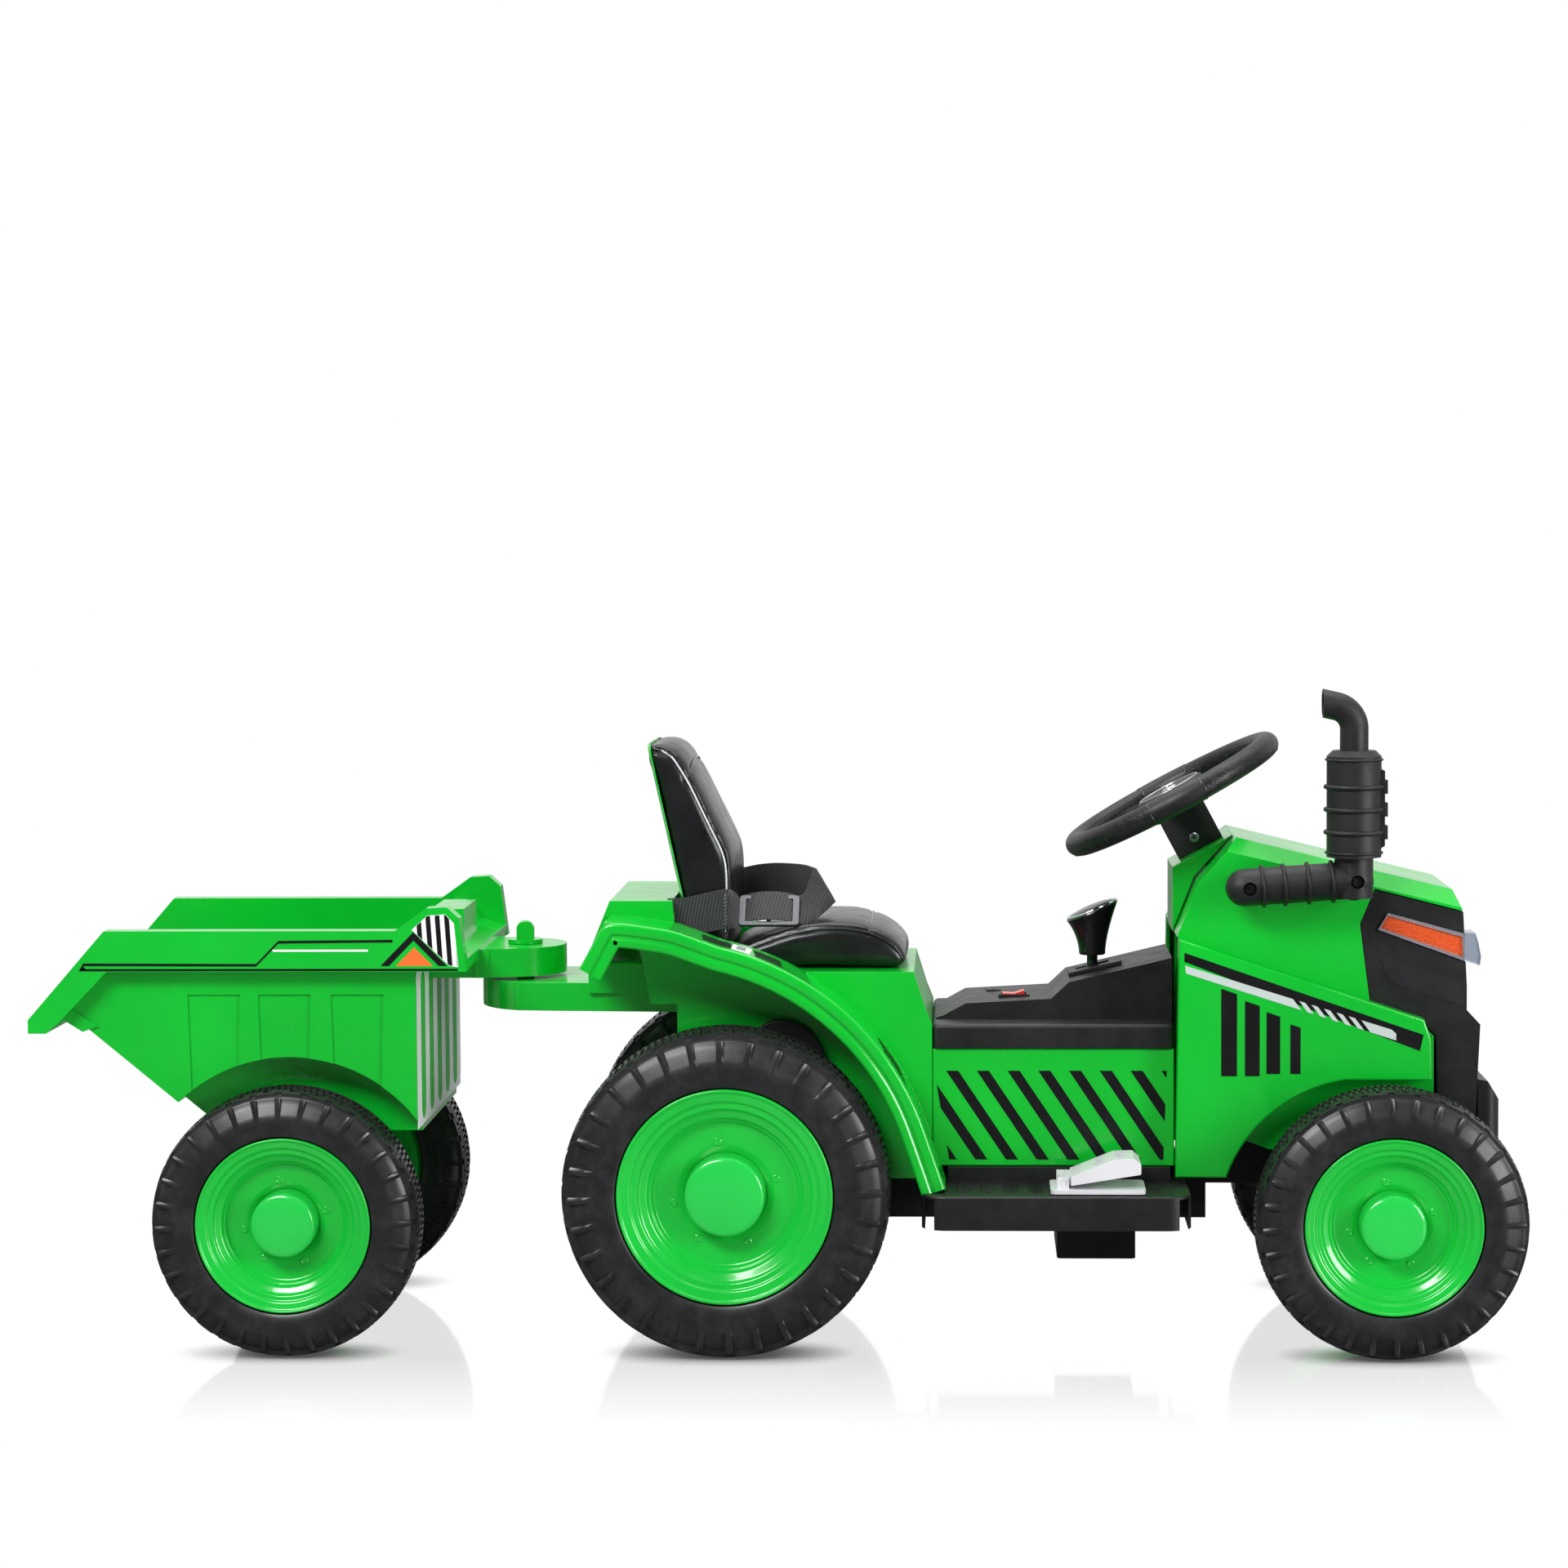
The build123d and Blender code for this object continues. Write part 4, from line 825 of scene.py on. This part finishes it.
def steering_trim():
    """Parting line, smooth inserts with bright edges, hub ring and the column screw."""
    major, minor = 97.5, 10.5

    def around(turn, wrap, lift=0.0):
        reach = major + (minor + lift) * cos(wrap)
        return wheel_plane(reach * cos(turn), reach * sin(turn), (minor + lift) * sin(wrap))

    for label, wrap in (("lower", radians(-50)), ("inner", radians(150))):
        tube(f"wheel_parting_{label}", [around(tau * k / 96, wrap, 0.05) for k in range(96)], 0.4 * MM,
             black, "steering", 6, closed=True)
    for hand, side in SIDES:
        middle = side * pi / 2
        rows = [[around(middle + radians(turn), tau * k / 40, lift) for k in range(40)]
                for turn, lift in ((-14, -0.6), (-13.8, 0.45), (-7, 0.55), (0, 0.55), (7, 0.55),
                                   (13.8, 0.45), (14, -0.6))]
        loft(f"wheel_insert_{hand}", rows, black, "steering")
        for end, turn in (("rear", -14.3), ("front", 14.3)):
            tube(f"wheel_insert_edge_{hand}_{end}",
                 [around(middle + radians(turn), tau * k / 40, 0.2) for k in range(40)], 0.55 * MM,
                 buckle_steel, "steering", 6, closed=True)
    tube("hub_ring", [wheel_plane(u, v, 6.1) for u, v in circle(64, 29)], 0.8 * MM, steel, "steering",
         closed=True)
    spot = wheel_plane(-1, 0, -43)
    middle = (spot[0], 0, spot[2])
    face = 20.0
    screw = [(face - 1.5, 0.1), (face - 1.5, 4.4), (face + 0.4, 4.4), (face + 1.3, 3.4),
             (face + 1.5, 1.6), (face + 1.5, 0.1)]
    collar = [(face - 1, 5.0), (face - 1, 7.6), (face + 0.3, 7.4), (face + 0.6, 6.6), (face + 0.3, 5.2)]
    for hand, side in SIDES:
        lathe(f"column_screw_{hand}", screw, middle, side, steel, "steering", 32)
        lathe(f"column_screw_collar_{hand}", collar, middle, side, black_matt, "steering",
              32)
        # Dark bars across the screw head: painted shade of its cross slot.
        for label, turn in (("a", 0.35), ("b", 0.35 + pi / 2)):
            bar = [(spot[0] / MM + u * cos(turn) - v * sin(turn),
                    spot[2] / MM + u * sin(turn) + v * cos(turn))
                   for u, v in ((-2.5, -0.45), (2.5, -0.45), (2.5, 0.45), (-2.5, 0.45))]
            low_y, high_y = sorted((side * (face + 1.0), side * (face + 1.56)))
            prism(f"column_screw_slot_{label}_{hand}", bar, low_y, high_y, steel_painted_shade, "steering",
                  SLOT["body_screws"])


# ---- lamps and grille ---------------------------------------------------------------
def honeycomb(window, pitch):
    """Centres of a hexagonal grid that lie well inside an X, Z window."""
    spots = []
    for row in range(-14, 30):
        for column in range(0, 46):
            x = 536 + column * pitch + (row % 2) * pitch / 2
            z = 338 + row * pitch * 0.866
            ring = [(x + u, z + v) for u, v in circle(6, 0.7 * pitch)]
            if all(len(clip([p, (p[0] + 0.01, p[1]), (p[0], p[1] + 0.01)], window)) == 3 for p in ring):
                spots.append((x, z))
    return spots


def headlights():
    """Side lamps: an orange honeycomb reflector in a clear cover that wraps the front."""
    slot = SLOT["headlight_lenses"]
    window = [(544.5, 381.6), (610.5, 362.4), (611.2, 344.6), (538.5, 370.5)]
    outer = [(545, 384), (612, 365.5), (612, 341.2), (536, 369)]
    spots = honeycomb(window, 2.3)
    first = None
    for hand, side in SIDES:
        plate = prism(f"reflector_plate_{hand}", outer, *sorted((side * 90, side * 94.6)), orange,
                      "tractor", slot)
        first = first or plate
        verts, faces = [], []
        for x, z in spots:
            start = len(verts)
            for radius, depth in ((1.28, 94.4), (1.22, 94.9), (0.66, 95.5)):
                verts += [((x + u) * MM, side * depth * MM, (z + v) * MM)
                          for u, v in circle(6, radius, pi / 6)]
            faces += [tuple(start + k for k in face) for face in quads(3, 6)]
            faces += [tuple(start + k for k in reversed(range(6))), tuple(start + 12 + k for k in range(6))]
        piece(f"reflector_cells_{hand}", verts, faces, orange, "tractor", 20.0)
        # Clear rim around the reflector.
        verts = [(x * MM, side * depth * MM, z * MM) for ring, depth in
                 ((outer, 94.6), (outer, 97.2), (window, 97.4), (window, 94.8)) for x, z in ring]
        piece(f"lamp_rim_{hand}", verts, quads(4, len(outer), True), clear, "tractor", 30.0)
        # Front lens, a hollow cover with a bright bowl inside.
        lens = [(612.4, 341), (626, 337), (627, 345), (624.5, 358), (622, 366), (612.4, 366)]
        prism(f"lamp_lens_{hand}", lens, *sorted((side * 68.4, side * 97.3)), clear, "tractor", slot)
        bowl = ((0, 0.1), (2, 4), (5, 8), (8, 11.4), (8.6, 11.4), (5.4, 7.4), (2.4, 3.4), (1.0, 0.1))
        verts = [(0.6105 + depth * MM * 0.15, side * 0.0825 + u * MM, 0.3535 + v * MM)
                 for depth, radius in bowl for u, v in circle(32, radius)]
        piece(f"lamp_bowl_{hand}", verts, quads(len(bowl), 32, True), chrome, "tractor")
    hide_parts("headlight_lenses")


def grille_inlay():
    """The lighter panel let into the grille below each lamp, and the can's clamp strip."""
    for hand, side in SIDES:
        inlay = [(539, 342), (545, 345), (609, 322), (613, 317), (613, 300), (547, 322)]
        prism(f"grille_inlay_{hand}", inlay, *sorted((side * 94.8, side * 95.5)), charcoal, "tractor",
              SLOT["front_grille"])
    prism("can_strip", [(535, 444), (538.6, 446), (538.6, 512), (535, 514)], -128, -116, black_matt,
          "tractor", SLOT["exhaust_can"])


def exhaust_rings():
    """Rounded ribs round the silencer and its arm."""
    low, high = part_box("exhaust_can")
    middle = Vector((0.512, (low[1] + high[1]) / 2, 0))
    can_radius, arm_radius = 24.6, 17.4
    for k, (z, thick) in enumerate(((440, 1.1), (458, 2.2), (478, 2.2), (498, 2.2), (522, 1.1))):
        ring = [middle + Vector((u, v, z)) * MM for u, v in circle(64, can_radius)]
        tube(f"can_rib_{k}", ring, thick * MM, black_matt, "tractor", 10, closed=True)
    along = Vector((cos(radians(4)), 0, sin(radians(4))))
    up = Vector((-along.z, 0, along.x))
    side = Vector((0, 1, 0))
    start = Vector((0.416, middle.y, 0.409))
    for k, reach in enumerate((16, 35, 56, 77)):
        ring = [start + (along * reach + up * u + side * v) * MM for u, v in circle(48, arm_radius)]
        tube(f"arm_rib_{k}", ring, 1.7 * MM, black_matt, "tractor", 10, closed=True)


# ---- stickers ---------------------------------------------------------------------
HOOD_FACE, BODY_FACE, TUB_FACE = 119, 98, 165


def sticker(name, outline, face, material, body, thick=0.2):
    """A film on both sides of the toy at the given distance from its middle plane."""
    for hand, side in SIDES:
        prism(f"{name}_{hand}", outline, *sorted((side * (face - 0.1), side * (face + thick))), material,
              body, FILM_SLOT[material.name])


def slash(start, end, rise, lean):
    """A slanted window from one X to another, for cutting a strip."""
    return [(start - rise * lean, 360), (end - rise * lean, 360), (end + rise * lean, 260),
            (start + rise * lean, 260)]


def body_stickers():
    # Hood side: a black band with a white strip under it, cut by slashes, and four bars.
    sticker("hood_band", [(363.5, 351), (363.5, 343), (571, 263.5), (574, 278)], HOOD_FACE, film_black,
            "tractor")
    strip = [(364, 339.6), (546, 282.6), (550, 279), (550, 273), (365, 332.6)]
    edges = [340] + [459 + 8.4 * k for k in range(6)] + [600]
    for k, (start, end) in enumerate(zip(edges, edges[1:])):
        cut = clip(strip, slash(start + (4.2 if k else 0), end, 60, 0.62))
        if cut:
            sticker(f"hood_strip_{k}", cut, HOOD_FACE, film_pale, "tractor", 0.45)
    slope = 0.3456
    for k, (x, width, foot) in enumerate(((396, 14, 241), (417, 13, 241), (436, 12, 243), (457, 9, 243))):
        head = 319 - slope * (x - 396) * 1.5
        sticker(f"hood_bar_{k}", [(x, head), (x + width, head - slope * width), (x + width, foot), (x, foot)],
                HOOD_FACE, film_black, "tractor")
    # Slanted stripes along the middle body.
    top, foot, width = 243, 163, 10.8
    window = [(142, top), (349, top), (346, foot), (155, foot)]
    run = (top - foot) * 0.667
    for k in range(-2, 9):
        x = 152.5 + 27.4 * k
        cut = clip([(x, top), (x + width, top), (x + width + run, foot), (x + run, foot)], window)
        if cut:
            sticker(f"side_stripe_{k + 2}", cut, BODY_FACE, film_black, "tractor")


def trailer_stickers():
    # Thin black outline with a step, and the white line above it.
    upper = [(-613, 341.6), (-609.5, 347.6), (-455.4, 347), (-435.4, 367.4), (-334, 368.3)]
    band = upper + [(x, z - 2.4) for x, z in reversed(upper[1:])] + [(-606.5, 341.6)]
    for name, outline, film in (
            ("outline", band, film_black),
            ("underline", [(-613, 342.6), (-276.5, 342.6), (-276.5, 340.6), (-613, 340.6)], film_black),
            ("line", [(-441, 359.6), (-356, 359.6), (-356, 357.8), (-440, 357.8)], film_white),
            ("triangle", [(-331.5, 345), (-298.5, 345), (-315, 361.5)], film_orange),
            ("chevron", [(-345, 345), (-315.5, 375), (-286, 345), (-293.5, 345), (-315.5, 367.5),
                         (-337.5, 345)], film_black),
            ("sign", [(-317, 377), (-303, 389.6), (-287, 390.6), (-279.5, 382.6), (-276, 344),
                      (-284, 345)], film_white)):
        sticker(f"tub_{name}", outline, TUB_FACE, film, "trailer")
    sign = [(-316.6, 377), (-303, 389.2), (-287, 390.2), (-280, 382.4), (-276.6, 344.6), (-284, 345.6)]
    for k in range(6):
        x = -322 + 8.3 * k
        bar = clip(sign, [(x, 400), (x + 4.2, 400), (x + 8.6, 330), (x + 4.4, 330)])
        if bar:
            sticker(f"tub_sign_bar_{k}", bar, TUB_FACE, film_black, "trailer", 0.45)
    # Front wall: a white field with round-ended slots of the body colour.
    low_z, high_z, wall_x, half, reach = 197, 337, -316.0, 146, 13

    def front_plate(name, outline, proud, material):
        n = len(outline)
        verts = [(x * MM, y * MM, z * MM) for x in (wall_x - 0.1, wall_x + proud) for y, z in outline]
        faces = [tuple(range(n)), tuple(reversed(range(n, 2 * n)))] + quads(2, n)
        piece(name, verts, faces, material, "trailer", 30.0)

    front_plate("tub_front_field", [(-half, low_z), (half, low_z), (half, high_z), (-half, high_z)], 0.25,
                film_white)
    bow = [(reach * cos(pi * i / 12), reach * sin(pi * i / 12)) for i in range(13)]
    for k in range(5):
        centre = 54 * (k - 2)
        slot_line = [(centre + u, high_z - 16 + v) for u, v in bow]
        slot_line += [(centre - u, low_z + 18 - v) for u, v in bow]
        front_plate(f"tub_front_slot_{k}", slot_line, 0.5, film_green)


def fender_curve():
    """Outer edge of the fender as X, Z points in millimetres, from the rear corner to the foot."""
    a, b, c = Vector((-45, 361)), Vector((65, 304)), Vector((134, 199))
    twice = 2 * (a.x * (b.y - c.y) + b.x * (c.y - a.y) + c.x * (a.y - b.y))
    cx = (a.dot(a) * (b.y - c.y) + b.dot(b) * (c.y - a.y) + c.dot(c) * (a.y - b.y)) / twice
    cz = (a.dot(a) * (c.x - b.x) + b.dot(b) * (a.x - c.x) + c.dot(c) * (b.x - a.x)) / twice
    centre = Vector((cx, cz))
    radius = (a - centre).length
    start, end = (atan2(p.y - cz, p.x - cx) for p in (a, c))
    turns = [start + (end - start) * k / 30 for k in range(31)]
    arc = [centre + radius * Vector((cos(turn), sin(turn))) for turn in turns]
    rear = rounded([(-169, 342.5), (-147, 383), (-125, 382), (-86, 376), (-45, 361)], 9, 5)
    return rear[:-1] + arc + [Vector((141, 179)), Vector((147, 161.5)), Vector((151.5, 148))]


def fenders():
    """A rolled two-step lip along each fender, its louvres and small stickers."""
    curve = fender_curve()
    normals = []
    for k in range(len(curve)):
        along = curve[min(k + 1, len(curve) - 1)] - curve[max(k - 1, 0)]
        normals.append(Vector((along.y, -along.x)).normalized())
    # (distance in from the fender's edge, distance out past its side)
    section = [(0.1, -2.5), (0.1, 0.6), (0.9, 2.0), (2.6, 2.7), (8.2, 2.7), (9.8, 2.0), (10.6, 0.6),
               (11.6, 0.3), (12.4, 0.8), (13.6, 1.9), (15.4, 2.5), (19, 2.5), (20.8, 1.6), (21.5, 0.2),
               (21.5, -2.5)]
    for hand, side in SIDES:
        rows = [[Vector((p.x + n.x * depth, side * (165 + out), p.y + n.y * depth)) * MM
                 for depth, out in section] for p, n in zip(curve, normals)]
        loft(f"fender_lip_{hand}", rows, green, "tractor", 40.0)

    top_line = [Vector(p) for p in ((-147, 383), (-125, 382), (-86, 376))]
    top_line += [p for p in curve if p.x > -45.01]

    def height(x):
        for p, q in zip(top_line, top_line[1:]):
            if p.x <= x <= q.x:
                return p.y + (q.y - p.y) * (x - p.x) / (q.x - p.x)
        return top_line[-1].y

    def surface_film(name, x_range, side, y_range, proud, material):
        near, far = sorted(side * y for y in y_range)
        steps = 8
        rows = []
        for k in range(steps + 1):
            x = x_range[0] + (x_range[1] - x_range[0]) * k / steps
            z = height(x)
            rows.append([Vector(p) * MM for p in ((x, near, z - 0.3), (x, far, z - 0.3),
                                                  (x, far, z + proud), (x, near, z + proud))])
        loft(name, rows, material, "tractor", 30.0)

    for hand, side in SIDES:
        for k in range(4):
            across = (120 + 9.5 * k, 124 + 9.5 * k)
            for label, start, end in (("rear", -64 + k, -38 + k), ("front", -18 + k, 6 + k),
                                      ("low", 92 + 2 * k, 112 + 2 * k)):
                surface_film(f"louvre_{label}_{hand}_{k}", (start, end), side, across, 0.6, film_black)
        surface_film(f"louvre_plate_{hand}", (-36, -19.5), side, (119, 153), 0.6, film_white)
        for k in range(3):
            surface_film(f"louvre_mark_{hand}_{k}", (-32, -24), side, (125 + 9 * k, 130.5 + 9 * k), 0.9,
                         film_grey)


backrest()
cushion()
lap_belt()
gear_knob()
steering_trim()
headlights()
grille_inlay()
exhaust_rings()
body_stickers()
trailer_stickers()
fenders()


# ---- stage, light and camera -----------------------------------------------------
def stage_floor():
    """White floor: a faint mirror image and contact shadow near the toy, plain white farther out."""
    s = Shader("studio_floor")
    rays = s.add("ShaderNodeLightPath").outputs
    grey = s.blend_colors(s.noise(3.0), (0.5, 0.5, 0.51), (0.52, 0.52, 0.53))
    s.set(color=s.blend_colors(rays["Is Glossy Ray"], grey, (0.07, 0.07, 0.07)), rough=0.4)
    # Distance outside the toy's own footprint.
    axes = s.add("ShaderNodeSeparateXYZ", {"Vector": s.place}).outputs
    past = {axis: s.math("MAXIMUM", s.math("SUBTRACT", s.math("ABSOLUTE", axes[axis]), reach), 0.0)
            for axis, reach in (("X", 0.62), ("Y", 0.18))}
    both = s.add("ShaderNodeCombineXYZ", past).outputs[0]
    distance = s.add("ShaderNodeVectorMath", {0: both}, operation="LENGTH").outputs["Value"]
    fade, mirror_share = 0.26, 0.26
    share = s.ramp(distance, 0.0, fade, mirror_share, 0.0)
    contact = s.add("ShaderNodeAmbientOcclusion", {"Distance": 0.05}).outputs["AO"]
    strength = s.ramp(contact, 0.1, 0.75, 0.1, 1.0)
    glow = s.add("ShaderNodeEmission", {"Color": (1, 1, 1, 1), "Strength": strength})
    mirror = s.add("ShaderNodeBsdfAnisotropic", {"Color": (1.25, 1.25, 1.25, 1), "Roughness": 0.06})
    seen = s.add("ShaderNodeMixShader", {0: share, 1: glow.outputs[0], 2: mirror.outputs[0]})
    out = s.add("ShaderNodeMixShader", {0: rays["Is Camera Ray"], 1: s.bsdf.outputs[0], 2: seen.outputs[0]})
    s.feed(s.tree.nodes["Material Output"].inputs["Surface"], out.outputs[0])
    reach = 12.0
    mesh = bpy.data.meshes.new("floor")
    mesh.from_pydata([(x, y, 0) for x, y in ((-reach, -reach), (reach, -reach), (reach, reach),
                                             (-reach, reach))], [], [(0, 1, 2, 3)])
    mesh.materials.append(s.material)
    placed("floor", mesh)


def area_light(name, place, aim, size, power):
    data = bpy.data.lights.new(name, "AREA")
    data.shape = "RECTANGLE"
    data.size, data.size_y = size
    data.energy = power
    obj = placed(name, data)
    obj.location = place
    obj.rotation_euler = (Vector(aim) - Vector(place)).to_track_quat("-Z", "Y").to_euler()


def studio():
    """White surroundings, dimmer on the viewer's side, with three soft boxes."""
    world = bpy.data.worlds.new("studio")
    SCENE.world = world
    world.use_nodes = True
    sky = Nodes(world.node_tree)
    direction = sky.add("ShaderNodeTexCoord").outputs["Generated"]
    away = sky.add("ShaderNodeSeparateXYZ", {0: direction}).outputs["Y"]
    shade = sky.ramp(away, -0.7, 0.3, 0.04, 0.8, interpolation_type="SMOOTHSTEP")
    seen = sky.add("ShaderNodeLightPath").outputs["Is Camera Ray"]
    background = sky.tree.nodes["Background"].inputs
    sky.feed(background[0], (1, 1, 1, 1))
    sky.feed(background[1], sky.add("ShaderNodeMix", {0: seen, 2: shade, 3: 1.0}).outputs[0])
    area_light("key", (-1.5, -2.6, 2.7), (0, 0, 0.25), (2.0, 1.0), 120)
    area_light("top", (0.2, 0.4, 3.0), (0, 0, 0.2), (3.4, 2.0), 60)
    area_light("fill", (2.9, -1.9, 1.0), (0, 0, 0.25), (1.0, 1.4), 62)
    SCENE.view_settings.view_transform = "Standard"


def aim_camera():
    data = bpy.data.cameras.new("camera")
    data.lens = 89.98
    camera = placed("camera", data)
    camera.location = (0.1698, -3.5814, 0.7266)
    target = Vector((0.0044, 0.0, 0.494))
    roll = Quaternion((0, 0, 1), radians(-0.35))
    aim = (target - camera.location).to_track_quat("-Z", "Y") @ roll
    camera.rotation_euler = aim.to_euler()
    SCENE.camera = camera


stage_floor()
studio()
aim_camera()
